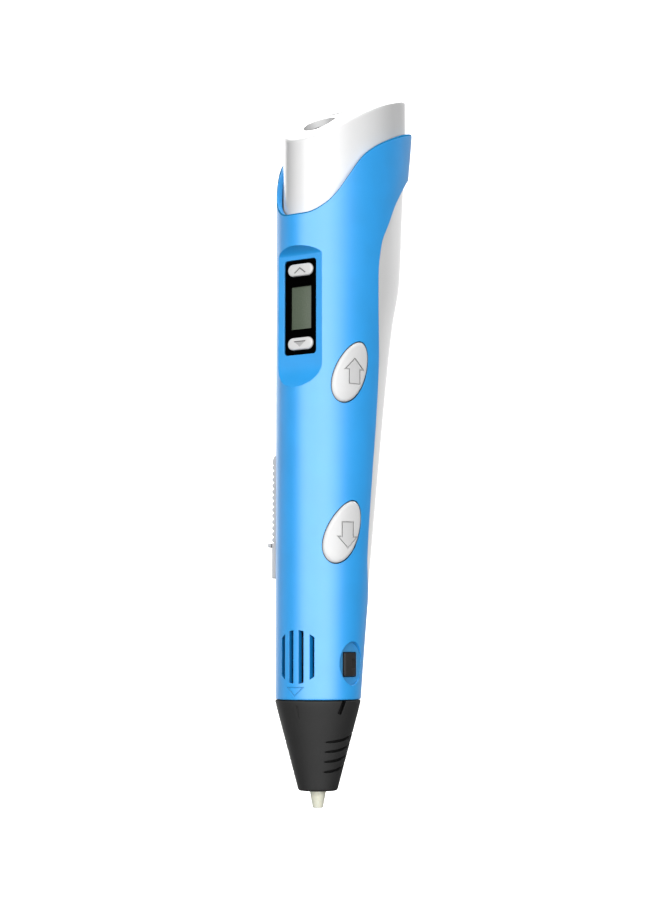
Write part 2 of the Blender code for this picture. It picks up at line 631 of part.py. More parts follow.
bracket = box("feed_bracket", ((-BRACKET_HALF, BRACKET_FRONT, BRACKET_LOW),
                               (BRACKET_HALF, BRACKET_BACK, BRACKET_HIGH)), NATURAL)
fuse(bracket, rod("bracket_lug", 3.6, (44.7, 54.3), at=(0, DRIVE_Y), segments=28))
cut(bracket, box("bracket_room", ((-BRACKET_HALF + BRACKET_SIDE, -20, 46.3),
                                  (BRACKET_HALF - BRACKET_SIDE, 20, 52.7))))
fuse(bracket, box("bracket_spine", ((-3.5, 6.6, 30.5), (3.5, 7.8, 45.2))))
cut(bracket, rod("bearing_seat", 3.9, (40, 60), segments=32))
for name, span in SHAFT_HOLES:
    cut(bracket, rod(name, 1.2, span, at=(0, DRIVE_Y), segments=20))

nut = slab("feed_nut_gear", gear_outline(NUT_TEETH), GEAR_SPAN, NUT_TURN, BRASS)
fuse(nut, rod("nut_hub", 2.0, (43.8, 54.9), segments=28))
cut(nut, rod("nut_bore", FILAMENT_BORE, (40, 60)))
for name, span in BEARINGS:
    sleeve(f"feed_bearing_{name}", 3.6, 2.3, span, STEEL)

pinion = slab("drive_pinion", gear_outline(PINION_TEETH), GEAR_SPAN, DRIVE_PLACE @ PINION_TURN,
              BRASS)
fuse(pinion, rod("pinion_shaft", 0.75, (45.2, 57.6), place=DRIVE_PLACE, segments=20))

gearbox = rod("gearbox_housing", MOTOR_R, (55.0, 64.0), NATURAL, DRIVE_PLACE, 36)
cut(gearbox, rod("gearbox_bore", 1.1, (50, 58.2), place=DRIVE_PLACE, segments=20))
turned("feed_motor", MOTOR_PROFILE, STEEL, DRIVE_PLACE, steps=28, closed=False)

# ======================================================== filament path and power jack
GUIDE_LOW, GUIDE_TOP = 55.3, 167.8
GUIDE_BEND_LOW, GUIDE_BEND_RISE = 95, 53  # heights over which it swings back to the inlet
INLET_PROFILE = ((1.55, 174.6), (1.55, 171.4), (3.2, 171.4), (3.2, 168.2),
                 (FILAMENT_BORE, 168.2), (FILAMENT_BORE, 174.0), (1.2, 174.6))
# from the tip of the centre pin, over the collar and down the outside to the base
JACK_PROFILE = ((0, 165.6), (0.7, 165.1), (0.7, 158.6), (2.8, 158.6), (2.8, 167.4), (3.7, 167.4),
                (3.7, 159.0), (4.8, 159.0), (4.8, 155.0), (0, 155.0))

swing = [(0, INLET_Y * (3 * t * t - 2 * t ** 3), GUIDE_BEND_LOW + GUIDE_BEND_RISE * t)
         for t in spread(0, 1, 11)]
tube("filament_guide_tube", [(0, 0, GUIDE_LOW), (0, 0, 75)] + swing + [(0, INLET_Y, GUIDE_TOP)],
     1.6, FILAMENT_BORE, PTFE)
turned("filament_inlet_bush", INLET_PROFILE, NATURAL, shift(0, INLET_Y), steps=28)
turned("power_jack", JACK_PROFILE, NOSE_GREY, shift(0, PORT_Y), closed=False)

# ======================================================== inner frame and case screws
SCREWS = (("case_screw_lower", 92.0), ("case_screw_upper", 146.0))  # name, Z
BOSS_INSET = 1.2  # from the inside of the rear casing to the end of a boss
SCREW_R, SCREW_LONG, HEAD_R, HEAD_TALL = 0.8, 4.5, 2.0, 1.3

upper_frame = box("upper_frame", ((-5, 13.0, 88.0), (5, 14.4, 150.0)), NATURAL)
for name, z in SCREWS:
    place = shift(0, 0, z) @ FACING  # depths behind the axis are negative
    boss_end = -(smooth(BACK, z) - WALL - BOSS_INSET)
    seat = boss_end - GAP
    head_end = seat - HEAD_TALL
    cut(rear_shell, rod(f"{name}_hole", 2.3, (-60, -14.0), place=place))
    fuse(upper_frame, rod(f"{name}_boss", 2.4, (boss_end, -13.6), place=place))
    cut(upper_frame, rod(f"{name}_pilot", 1.1, (boss_end - 2, boss_end + 6.0), place=place,
                         segments=18))
    turned(name, ((0, seat + SCREW_LONG), (SCREW_R, seat + SCREW_LONG), (SCREW_R, seat),
                  (HEAD_R, seat), (HEAD_R, head_end), (0, head_end)),
           STEEL, place, closed=False)


# ======================================================== electronics
def switch(name, centre, half_size, body_depth, well, plunger, place):
    """A switch body with a round well and its plunger; both are (radius, points, depth)."""
    (x, z), (half_x, half_z), (back, front) = centre, half_size, body_depth
    body = box(f"{name}_switch", ((x - half_x, z - half_z, back), (x + half_x, z + half_z, front)),
               BLACK, place)
    radius, count, depth = well
    cut(body, slab(f"{name}_well", circle(x, z, radius, count), depth, place))
    radius, count, depth = plunger
    slab(f"{name}_plunger", circle(x, z, radius, count), depth, place, STEEL)


box("main_board", ((-5, -7.0, 58.0), (3.2, -6.0, 101.0)), BOARD)
box("control_chip", ((-2.6, -5.7, 72.0), (2.6, -4.8, 77.2)), BLACK)
box("display_board", ((-4.8, -3.9, 109.0), (4.8, -3.1, 138.0)), BOARD)
box("key_board", ((-1.4, 57.0, 2.3), (5.6, 116.5, 3.1)), BOARD, KEY_PLACE)

# ---------------------------------------------------------------- display
LCD_HALF, LCD_LOW, LCD_HIGH = 2.9, 118.3, 128.5  # opening in the bezel
BEZEL_DEPTH = (6.7, 7.8)
TEMP_LONG, TEMP_TALL = 7.4, 3.1
TEMP_END_R = TEMP_TALL / 2 - 0.02  # leaves a short straight run at each end
TEMP_KEYS = (("up", 132.9), ("down", 114.3))  # name, Z

lcd = box("lcd_module", ((-3.9, -6.1, 117.0), (3.9, -4.2, 130.0)), SCREEN)
fuse(lcd, box("lcd_glass", ((-LCD_HALF + GAP, -7.3, LCD_LOW + GAP),
                            (LCD_HALF - GAP, -5.5, LCD_HIGH - GAP))))

bezel = slab("display_bezel", rounded_rectangle(0, WINDOW_Z, WINDOW_WIDE - 2 * GAP,
                                                WINDOW_TALL - 2 * GAP, 0.8),
             BEZEL_DEPTH, FACING, BLACK)
cut(bezel, box("bezel_glass", ((-LCD_HALF, -12, LCD_LOW), (LCD_HALF, 0, LCD_HIGH))))

for key, z in TEMP_KEYS:
    hole = rounded_rectangle(0, z, TEMP_LONG + 2 * GAP, TEMP_TALL + 2 * GAP, TEMP_END_R + GAP, 8)
    cut(bezel, slab(f"temp_{key}_hole", hole, (2, 14), FACING))
    button = slab(f"temp_{key}_button",
                  rounded_rectangle(0, z, TEMP_LONG, TEMP_TALL, TEMP_END_R, 8),
                  (5.95, 8.3), FACING, WHITE)
    flange = rounded_rectangle(0, z, TEMP_LONG + 1.0, TEMP_TALL + 0.9, TEMP_TALL / 2 + 0.4, 8)
    fuse(button, slab(f"temp_{key}_flange", flange, (5.9, 6.4), FACING))
    switch(f"temp_{key}", (0, z), (1.5, 1.4), (4.2, 5.3), well=(0.9, 20, (4.5, 7)),
           plunger=(0.6, 18, (4.9, 5.6)), place=FACING)

# ---------------------------------------------------------------- side keys
KEY_PROUD = 0.5  # how far the keys stand out of the cover
KEY_FLANGE = 0.7

key_outer = skin("key_outer", casing_rings(COVER_BACK, COVER_HALF, SECTIONS, KEY_PROUD))
for key, x, z in KEYS:
    button = slab(f"{key}_button", key_oval(x, z), (6.65, 14), KEY_PLACE, WHITE)
    keep(button, key_outer)
    fuse(button, slab(f"{key}_flange", key_oval(x, z, KEY_FLANGE), (6.6, 7.4), KEY_PLACE))
    switch(key, (x, z), (2.25, 2.25), (3.4, 5.4), well=(1.2, 24, (3.8, 8)),
           plunger=(0.9, 20, (4.9, 6.3)), place=KEY_PLACE)

# ======================================================== wiring
WIRE_R, HEATER_WIRE_R = 0.4, 0.35
# name, look, corners of the path
WIRES = (
    ("motor_wire_black", BLACK, ((-1.6, 7.5, 85.4), (-1.6, 7.5, 88), (-3.3, 3.6, 93),
                                 (-3.6, -1.5, 96), (-3.4, -5.4, 96.5))),
    ("motor_wire_red", RED, ((1.6, 7.5, 85.4), (1.6, 8.2, 90), (-4.9, 6.0, 96.5),
                             (-5.2, -1.0, 99), (-4.5, -5.4, 99.4))),
    ("power_wire_red", RED, ((-1.6, 0.5, 154.6), (-2.4, -0.9, 148), (-2.4, -0.9, 107),
                             (-0.4, -5.4, 99.6))),
    ("power_wire_black", BLACK, ((-3.6, 0.5, 154.6), (-4.2, -0.9, 148), (-4.2, -0.9, 110),
                                 (-2.1, -5.4, 101.0), (-2.1, -5.4, 99.6))),
)
# the heater wire on the +X side; the other is its mirror image
HEATER_WIRE = ((2.5, 1.6, 20.5), (HEATER_WIRE_X, HEATER_WIRE_Y, 24.5),
               (HEATER_WIRE_X, HEATER_WIRE_Y, 42.2), (4.6, 2.4, 43.7), (4.6, -4.9, 43.7),
               (4.2, -5.35, 46), (2.7, -5.45, 60))

for name, look, corners in WIRES:
    wire(name, bend(corners), WIRE_R, look)
for side, name in ((-1, "heater_wire_left"), (1, "heater_wire_right")):
    corners = [(side * x, y, z) for x, y, z in HEATER_WIRE]
    wire(name, bend(corners, radius=1.2, steps=3), HEATER_WIRE_R, WHITE)

bpy.context.view_layer.update()
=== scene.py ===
import json
import math

import bmesh
import bpy
from mathutils import Matrix, Vector


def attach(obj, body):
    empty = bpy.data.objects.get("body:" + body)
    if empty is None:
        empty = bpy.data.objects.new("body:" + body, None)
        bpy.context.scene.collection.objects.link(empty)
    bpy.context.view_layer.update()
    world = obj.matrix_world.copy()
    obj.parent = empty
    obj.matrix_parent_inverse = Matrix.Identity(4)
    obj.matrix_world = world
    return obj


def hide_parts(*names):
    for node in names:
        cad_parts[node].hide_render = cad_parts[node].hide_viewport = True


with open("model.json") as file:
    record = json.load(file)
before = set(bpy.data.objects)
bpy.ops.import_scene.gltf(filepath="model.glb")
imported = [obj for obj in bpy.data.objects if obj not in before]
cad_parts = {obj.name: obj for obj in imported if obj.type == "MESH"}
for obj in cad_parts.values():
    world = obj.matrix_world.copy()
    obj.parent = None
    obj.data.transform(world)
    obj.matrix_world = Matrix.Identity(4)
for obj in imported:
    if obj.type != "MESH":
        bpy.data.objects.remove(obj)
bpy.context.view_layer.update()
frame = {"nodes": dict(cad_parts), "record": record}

MM = 0.001

# The same design curves as the CAD, in millimetres, drawn here at a finer step.
FRONT, WALL, GAP = 10.6, 1.5, 0.3
BODY_BOTTOM = 26.5
BACK = ((22, 10.0), (30, 11.0), (60, 15.3), (90, 20.2), (112, 24.1), (122, 26.3),
        (132, 29.4), (138, 30.2), (150, 31.1), (168, 32.7), (190, 34.4))
HALF = ((22, 10.4), (40, 10.8), (70, 11.6), (100, 12.4), (122, 13.05), (134, 13.5),
        (168, 13.9), (190, 14.1))
COVER_BACK = ((22, 10.2), (30, 11.2), (60, 15.5), (90, 20.4), (112, 24.3), (122, 26.5),
              (132, 29.6), (138, 30.6), (150, 32.3), (162, 34.2), (174, 36.0), (190, 37.4))
COVER_HALF = ((22, 10.45), (40, 10.85), (70, 11.65), (100, 12.45), (122, 13.1),
              (134, 13.6), (150, 14.0), (162, 14.3), (174, 14.55), (190, 14.7))
RIM = ((-16, 146.6), (-10.6, 146.8), (-7.8, 149.1), (-5.2, 152.6), (-3.4, 155.6),
       (-1.9, 158.0), (0.0, 160.8), (2.1, 163.1), (6.8, 166.3), (12.9, 169.1),
       (19.7, 171.6), (28.0, 174.0), (40.0, 176.5))
PART_SIDE = ((46.0, 12.4), (47.2, 10.9), (50.0, 8.9), (55.0, 6.7), (61.4, 5.4), (81.5, 6.7),
             (96.7, 8.1), (109.5, 8.6), (123.9, 7.7), (133.3, 7.3), (140.8, 8.4),
             (146.4, 11.5), (152.1, 15.0), (156.1, 18.7))
PART_TOP = ((18.7, 156.1), (23.3, 159.7), (29.0, 162.2), (42.0, 165.5))
PART_BOTTOM_Z = 45.2
CAP_FRONT, CAP_BACK, CAP_HALF, CAP_WALL = -8.6, 34.2, 12.85, 1.4
CAP_TOP = ((-14, 164.1), (-8.6, 166.2), (-5.0, 168.5), (0.2, 172.2), (5.3, 175.1),
           (9.5, 177.2), (13.6, 178.9), (18.7, 180.7), (24.0, 182.1), (30.0, 183.7),
           (34.2, 184.6), (42.0, 186.1))
CAP_BOTTOM = ((-14, 141.5), (5.0, 147.5), (11.0, 150.2), (15.0, 155.0), (18.7, 159.0),
              (23.3, 162.6), (29.0, 165.0), (42.0, 168.3))
PORT_Y, PORT_R, INLET_Y, INLET_R = 0.5, 4.1, 8.5, 1.9
POCKET_Y = -8.1
WINDOW_HALF, WINDOW_LO, WINDOW_HI = 4.8, 111.5, 135.5
BEZEL_FACE, BEZEL_BACK = -7.8, -6.7
LCD_HALF, LCD_LO, LCD_HI = 3.12, 117.95, 128.85
TEMP_LONG, TEMP_TALL, TEMP_UP_Z, TEMP_DOWN_Z = 7.4, 3.1, 132.9, 114.3
KEY_AZ = math.radians(65.0)
KEY_N = (math.sin(KEY_AZ), -math.cos(KEY_AZ))
KEY_W = (math.cos(KEY_AZ), math.sin(KEY_AZ))
KEY_LONG, KEY_SHORT, KEY_TILT, EGG = 8.25, 4.4, math.radians(26.0), 0.07
FEED_W, FEED_Z, RETRACT_W, RETRACT_Z, KEY_PROUD = 1.1, 67.4, 3.2, 107.1, 0.5
SLIDE_AZ = math.radians(70.0)
SLIDE_M = (-math.sin(SLIDE_AZ), -math.cos(SLIDE_AZ))
SLIDE_V = (-math.cos(SLIDE_AZ), math.sin(SLIDE_AZ))
SLIDE_V0 = 1.5
TRACK_LO, TRACK_HI, TRACK_HALF, TRACK_FACE = 56.3, 87.2, 2.2, 11.75
RIBS, RIB_START, RIB_PITCH, RIB_DEPTH = 13, 65.9, 1.52, 0.5
KNOB_Z = 64.6
VENT_X, VENT_Z, VENT_R, VENT_SIDE, BAR_W, BAR_PITCH = 0.6, 36.9, 6.5, 4.8, 1.45, 2.75
LATCH_AZ = math.radians(81.0)
LATCH_E = (math.sin(LATCH_AZ), -math.cos(LATCH_AZ))
LATCH_F = (math.cos(LATCH_AZ), math.sin(LATCH_AZ))
LATCH_F0, LATCH_LO, LATCH_HI, LATCH_HALF = 1.05, 32.0, 38.1, 2.5
SCOOP_R, SCOOP_WIDE, SCOOP_FLOOR = 5.3, 4.15, 9.55
POCKET_BEND, POCKET_FOOT = 109.3, 103.2
NOSE_TOP, NOSE_R, NOSE_TIP_Z, NOSE_TIP_R = 26.36, 10.65, 4.2, 4.8
SPIGOT_R, SPIGOT_IN, SPIGOT_TOP = 8.8, 7.75, 30.0
SCREWS = (92.0, 146.0)


# ============================================================ curves and meshes
def slopes(table):
    step = [(b[1] - a[1]) / (b[0] - a[0]) for a, b in zip(table, table[1:])]
    out = [step[0]]
    for p, q in zip(step, step[1:]):
        out.append(0.0 if p * q <= 0 else 2 * p * q / (p + q))
    return out + [step[-1]]


SLOPES = {}


def smooth(table, x):
    """Height of the smooth curve through the stations at x."""
    d = SLOPES.setdefault(id(table), slopes(table))
    x = min(max(x, table[0][0]), table[-1][0])
    for i in range(len(table) - 1):
        (x0, y0), (x1, y1) = table[i], table[i + 1]
        if x <= x1:
            h = x1 - x0
            t = (x - x0) / h
            return (y0 * (1 + 2 * t) * (1 - t) ** 2 + d[i] * h * t * (1 - t) ** 2
                    + y1 * t * t * (3 - 2 * t) + d[i + 1] * h * t * t * (t - 1))
    return table[-1][1]


def spread(lo, hi, n):
    return [lo + (hi - lo) * i / (n - 1) for i in range(n)]


def axes(x, y, z, at=(0, 0, 0)):
    m = Matrix.Identity(4)
    for col, vec in enumerate((x, y, z)):
        for row in range(3):
            m[row][col] = vec[row]
    for row in range(3):
        m[row][3] = at[row]
    return m


SIDEWAYS = axes((0, 1, 0), (0, 0, 1), (1, 0, 0))
FACING = axes((1, 0, 0), (0, 0, 1), (0, -1, 0))
KEY_PLACE = axes((*KEY_W, 0), (0, 0, 1), (*KEY_N, 0))
SLIDE_SIDE = axes((*SLIDE_M, 0), (0, 0, 1), (SLIDE_M[1], -SLIDE_M[0], 0))
SLIDE_SIGN = SLIDE_M[1] * SLIDE_V[0] - SLIDE_M[0] * SLIDE_V[1]
LATCH_PLACE = axes((*LATCH_F, 0), (0, 0, 1), (*LATCH_E, 0))


def put(name, bm, scale=MM):
    """A bmesh in millimetres becomes an object in metres."""
    bmesh.ops.scale(bm, vec=(scale,) * 3, verts=bm.verts)
    bmesh.ops.recalc_face_normals(bm, faces=bm.faces)
    mesh = bpy.data.meshes.new(name)
    bm.to_mesh(mesh)
    bm.free()
    obj = bpy.data.objects.new(name, mesh)
    bpy.context.scene.collection.objects.link(obj)
    return obj


def skin_bm(rings, closed=False, caps=True):
    bm = bmesh.new()
    rows = [[bm.verts.new(p) for p in ring] for ring in rings]
    pairs = list(zip(rows, rows[1:])) + ([(rows[-1], rows[0])] if closed else [])
    for low, high in pairs:
        n = len(low)
        for i in range(n):
            j = (i + 1) % n
            bm.faces.new((low[i], low[j], high[j], high[i]))
    if caps and not closed:
        bm.faces.new(rows[0][::-1])
        bm.faces.new(rows[-1])
    return bm


def skin(name, rings, closed=False):
    return put(name, skin_bm(rings, closed))


def slab_bm(points, lo, hi, place=None, edge=0.0, segments=3, both=False):
    """An outline extruded along local Z; edge rounds the rim of its high end, or of both."""
    bm = bmesh.new()
    face = bm.faces.new([bm.verts.new((x, y, lo)) for x, y in points])
    made = bmesh.ops.extrude_face_region(bm, geom=[face])
    top = [v for v in made["geom"] if isinstance(v, bmesh.types.BMVert)]
    bmesh.ops.translate(bm, verts=top, vec=(0, 0, hi - lo))
    if edge:
        ends = (hi, lo) if both else (hi,)
        rim = [e for e in bm.edges for z in ends
               if all(abs(v.co.z - z) < 1e-6 for v in e.verts)]
        bmesh.ops.bevel(bm, geom=rim, offset=edge, segments=segments, profile=0.5, affect="EDGES")
    if place is not None:
        bmesh.ops.transform(bm, matrix=place, verts=bm.verts)
    return bm


def slab(name, points, lo, hi, place=None, edge=0.0, segments=3, both=False):
    return put(name, slab_bm(points, lo, hi, place, edge, segments, both))


def rod_bm(r, lo, hi, at=(0, 0), n=48, place=None, edge=0.0):
    pts = [(at[0] + r * math.cos(2 * math.pi * i / n), at[1] + r * math.sin(2 * math.pi * i / n))
           for i in range(n)]
    return slab_bm(pts, lo, hi, place, edge)


def box_bm(lo, hi, place=None, edge=0.0):
    bm = bmesh.new()
    bmesh.ops.create_cube(bm, size=1.0)
    bmesh.ops.scale(bm, vec=[b - a for a, b in zip(lo, hi)], verts=bm.verts)
    bmesh.ops.translate(bm, vec=[(a + b) / 2 for a, b in zip(lo, hi)], verts=bm.verts)
    if edge:
        bmesh.ops.bevel(bm, geom=list(bm.edges), offset=edge, segments=3, profile=0.5, affect="EDGES")
    if place is not None:
        bmesh.ops.transform(bm, matrix=place, verts=bm.verts)
    return bm


def joined(name, *bms):
    """Several closed shapes that don't touch, as one cutter."""
    out = bmesh.new()
    for bm in bms:
        bmesh.ops.recalc_face_normals(bm, faces=bm.faces)
        mesh = bpy.data.meshes.new("piece")
        bm.to_mesh(mesh)
        bm.free()
        out.from_mesh(mesh)
        bpy.data.meshes.remove(mesh)
    return put(name, out)


def cut(obj, tool, operation="DIFFERENCE", solver="MANIFOLD"):
    """Applies a Boolean at once and removes the tool."""
    mod = obj.modifiers.new("cut", "BOOLEAN")
    mod.operation, mod.solver, mod.object = operation, solver, tool
    bpy.context.view_layer.update()
    before = len(obj.data.polygons)
    mesh = bpy.data.meshes.new_from_object(obj.evaluated_get(bpy.context.evaluated_depsgraph_get()))
    obj.modifiers.clear()
    old, obj.data = obj.data, mesh
    bpy.data.meshes.remove(old)
    mesh.name = obj.name
    if len(mesh.polygons) == 0:
        raise RuntimeError(f"{obj.name}: the cut with {tool.name} left nothing of {before} faces")
    bpy.data.objects.remove(tool, do_unlink=True)
    return obj


def shade(obj, angle=32):
    obj.data.shade_smooth()
    obj.data.set_sharp_from_angle(angle=math.radians(angle))
    return obj


def turned(name, profile, n=96, closed=True, place=None):
    """A profile of (radius, height) turned about Z."""
    rings = []
    for i in range(n):
        t = 2 * math.pi * i / n
        rings.append([(r * math.cos(t), r * math.sin(t), z) for r, z in profile])
    bm = bmesh.new()
    rows = [[bm.verts.new(p) for p in ring] for ring in rings]
    m = len(profile)
    for a, b in zip(rows, rows[1:] + rows[:1]):
        for i in range(m if closed else m - 1):
            j = (i + 1) % m
            bm.faces.new((a[i], a[j], b[j], b[i]))
    bmesh.ops.remove_doubles(bm, verts=bm.verts, dist=1e-5)
    if place is not None:
        bmesh.ops.transform(bm, matrix=place, verts=bm.verts)
    return put(name, bm)


def rounded(profile, radii, n=4):
    """Rounds the corners of a closed profile: one radius for each point."""
    out, m = [], len(profile)
    for i, (p, r) in enumerate(zip(profile, radii)):
        a, b, c = Vector(profile[i - 1]), Vector(p), Vector(profile[(i + 1) % m])
        if r <= 0:
            out.append(tuple(b))
            continue
        cut_len = min(r, (a - b).length * 0.45, (c - b).length * 0.45)
        s, e = b + (a - b).normalized() * cut_len, b + (c - b).normalized() * cut_len
        for k in range(n + 1):
            t = k / n
            out.append(tuple(s * (1 - t) ** 2 + b * 2 * t * (1 - t) + e * t * t))
    return out


def ellipse(a, b, tilt, cx, cz, n=96):
    out = []
    for i in range(n):
        t = 2 * math.pi * i / n
        u, v = a * math.cos(t), b * math.sin(t) * (1 - EGG * math.cos(t))
        out.append((cx + u * math.sin(tilt) - v * math.cos(tilt),
                    cz + u * math.cos(tilt) + v * math.sin(tilt)))
    return out


def round_box(cx, cz, wide, tall, r, n=8):
    out = []
    for k, (sx, sz) in enumerate(((1, 1), (-1, 1), (-1, -1), (1, -1))):
        for i in range(n + 1):
            t = math.pi / 2 * (k + i / n)
            out.append((cx + sx * (wide / 2 - r) + r * math.cos(t),
                        cz + sz * (tall / 2 - r) + r * math.sin(t)))
    return out


def circle(cx, cy, r, n=72):
    return [(cx + r * math.cos(2 * math.pi * i / n), cy + r * math.sin(2 * math.pi * i / n))
            for i in range(n)]


def oval_outline(a, b, cx, cz, n=96):
    return [(cx + a * math.cos(2 * math.pi * i / n), cz + b * math.sin(2 * math.pi * i / n)) for i in range(n)]


def along_v(lo, hi):
    return sorted((SLIDE_SIGN * lo, SLIDE_SIGN * hi))


# ============================================================ the casing's surfaces
def cover_point(i, n, z, grow=0.0):
    """A point of the cover's outer surface; i counts round from the front."""
    t = 2 * math.pi * i / n
    back, half = smooth(COVER_BACK, z) + grow, smooth(COVER_HALF, z) + grow
    mid, a = (back - FRONT - grow) / 2, (back + FRONT + grow) / 2
    return (half * math.sin(t), mid - a * math.cos(t), z)


def body_point(i, n, z, grow=0.0):
    t = 2 * math.pi * i / n
    back, half = smooth(BACK, z) + grow, smooth(HALF, z) + grow
    mid, a = (back - FRONT - grow) / 2, (back + FRONT + grow) / 2
    return (half * math.sin(t), mid - a * math.cos(t), z)


def cap_point(i, n, z, grow=0.0):
    t = 2 * math.pi * i / n
    mid, a = (CAP_FRONT + CAP_BACK) / 2, (CAP_BACK - CAP_FRONT) / 2 + grow
    return ((CAP_HALF + grow) * math.sin(t), mid - a * math.cos(t), z)


def toward(p, q, by):
    """p moved level towards q by a distance."""
    d = Vector((q[0] - p[0], q[1] - p[1], 0))
    d = d.normalized() * by
    return (p[0] + d.x, p[1] + d.y, p[2])


def level(fn, i, n, table, z):
    """The height at which a surface meets a curve given as height against Y."""
    for _ in range(25):
        z += 0.6 * (smooth(table, fn(i, n, z)[1]) - z)
    return z


def build_front_shell():
    n, rows = ((256, 190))
    tops = [level(cover_point, i, n, RIM, 150.0) for i in range(n)]
    lows = [level(lambda a, b, z: cap_point(a, b, z, GAP), i, n, CAP_BOTTOM, 150.0) - GAP for i in range(n)]
    lip, inner_lip = 0.42, 0.25

    def inner(i, z):
        """Inner face: the cap's room above the shelf, the main hollow below it."""
        p, q = body_point(i, n, z, -WALL), cap_point(i, n, z, GAP)
        s = min(max((z - lows[i]) / 0.8, 0.0), 1.0)
        return (p[0] + (q[0] - p[0]) * s, p[1] + (q[1] - p[1]) * s, z)

    foot = 0.22
    rings = []
    for k in range(4):  # small round at the foot
        t = math.pi / 2 * k / 3
        ring = [toward(cover_point(i, n, BODY_BOTTOM), (0, 0, 0), foot * (1 - math.sin(t))) for i in range(n)]
        rings.append([(x, y, BODY_BOTTOM + foot * (1 - math.cos(t))) for x, y, _ in ring])
    for k in range(1, rows):
        s = k / (rows - 1)
        rings.append([cover_point(i, n, BODY_BOTTOM + foot + (tops[i] - lip - BODY_BOTTOM - foot) * s)
                      for i in range(n)])
    for k in range(1, 7):  # outer round of the rim
        t = math.pi / 2 * k / 6
        ring = []
        for i in range(n):
            z = tops[i] - lip * (1 - math.sin(t))
            ring.append(toward(cover_point(i, n, z), inner(i, z), lip * (1 - math.cos(t))))
        rings.append(ring)
    for k in range(0, 4):  # inner round of the rim
        t = math.pi / 2 * k / 3
        ring = []
        for i in range(n):
            z = tops[i] - inner_lip * (1 - math.cos(t))
            ring.append(toward(inner(i, z), cover_point(i, n, z), inner_lip * (1 - math.sin(t))))
        rings.append(ring)
    inner_rows = 70
    for k in range(1, inner_rows):
        s = k / (inner_rows - 1)
        s = s ** 1.4
        rings.append([inner(i, tops[i] - inner_lip + (BODY_BOTTOM - tops[i] + inner_lip) * s)
                      for i in range(n)])
    shell = skin("front_cover", rings, closed=True)

    # thicker wall behind the display pocket, then every opening
    behind = slab_bm(((-6.6, 109.6), (-6.6, 138.6), (-9.3, 140.9), (-9.9, 140.9), (-9.9, 101.2), (-9.3, 101.7)),
                     -30, 30, SIDEWAYS)
    core = skin("core", [[cover_point(i, n, z, -0.35) for i in range(n)] for z in spread(98, 143, 60)])
    cut(core, put("behind", behind), "INTERSECT")
    cut(shell, core, "UNION")
    run = []
    for k in range(25):  # the lower end curls out like the bowl of a spoon
        u = 1.12 * k / 24
        run.append((POCKET_Y - (FRONT + POCKET_Y) * u * u, POCKET_BEND - u * (POCKET_BEND - POCKET_FOOT)))
    roof = []
    for k in range(13):  # and the upper end is a short cove
        u = 1.15 * k / 12
        roof.append((POCKET_Y - (FRONT + POCKET_Y) * u ** 1.6, 136.5 + u * 2.1))
    pocket = slab_bm(run + [(-18, run[-1][1] - 2), (-18, roof[-1][1] + 2)] + roof[::-1], -30, 30, SIDEWAYS)
    scoop = slab_bm(oval_outline(SCOOP_WIDE, SCOOP_R, LATCH_F0, (LATCH_LO + LATCH_HI) / 2 + 0.25), SCOOP_FLOOR, 16,
                    LATCH_PLACE)
    vents = []
    edges = [-VENT_SIDE] + [BAR_PITCH * k + s * BAR_W / 2 for k in (-1, 0, 1) for s in (-1, 1)] + [VENT_SIDE - 0.3]
    for a in range(0, 8, 2):
        xs = spread(edges[a], edges[a + 1], 9)
        pts = [(x + VENT_X, VENT_Z + math.sqrt(VENT_R ** 2 - x * x)) for x in xs]
        pts += [(x + VENT_X, VENT_Z - math.sqrt(VENT_R ** 2 - x * x)) for x in reversed(xs)]
        vents.append(slab_bm(pts, 6.9, 15, FACING))
    keys = [slab_bm(ellipse(KEY_LONG + 0.22, KEY_SHORT + 0.22, KEY_TILT, w, z, 120), 5.2, 20, KEY_PLACE)
            for w, z in ((FEED_W, FEED_Z), (RETRACT_W, RETRACT_Z))]
    track = slab_bm(((6.5, TRACK_LO - 0.12), (16, TRACK_LO - 0.12), (16, TRACK_HI + 0.12), (6.5, TRACK_HI + 0.12)),
                    *along_v(SLIDE_V0 - TRACK_HALF - 0.12, SLIDE_V0 + TRACK_HALF + 0.12), SLIDE_SIDE)
    cut(shell, joined("openings", pocket, scoop, track, *vents, *keys))
    window = slab_bm(round_box(0, (WINDOW_LO + WINDOW_HI) / 2, 2 * WINDOW_HALF, WINDOW_HI - WINDOW_LO, 0.9),
                     3, 15, FACING)
    latch = slab_bm(round_box(LATCH_F0, (LATCH_LO + LATCH_HI) / 2, 2 * LATCH_HALF, LATCH_HI - LATCH_LO, 0.4),
                    6, 16, LATCH_PLACE)
    # small engraved arrowhead outline below the vent
    strokes = []
    corners = ((-2.15, 29.6), (2.75, 29.6), (0.3, 27.3))
    arrow_outer = list(corners)
    cz = sum(z for _, z in corners) / 3
    arrow_inner = [(0.3 + (x - 0.3) * 0.78, cz + (z - cz) * 0.78) for x, z in corners]
    ring = bmesh.new()
    lay = [[ring.verts.new((x, z, d)) for x, z in pts] for d in (9.9, 12)
           for pts in (arrow_outer, arrow_inner)]
    lo_o, lo_i, hi_o, hi_i = lay
    for a in range(3):
        b = (a + 1) % 3
        ring.faces.new((lo_o[a], lo_o[b], hi_o[b], hi_o[a]))
        ring.faces.new((lo_i[a], lo_i[b], hi_i[b], hi_i[a]))
        ring.faces.new((lo_o[a], lo_o[b], lo_i[b], lo_i[a]))
        ring.faces.new((hi_o[a], hi_o[b], hi_i[b], hi_i[a]))
    bmesh.ops.transform(ring, matrix=FACING, verts=ring.verts)
    arrow = put("arrow_cut", ring)
    floor = skin("arrow_floor", [[cover_point(i, n, z, -0.11) for i in range(n)] for z in (24, 26, 28, 30, 32)])
    cut(arrow, floor)
    cut(shell, joined("windows", window, latch))
    cut(shell, arrow)

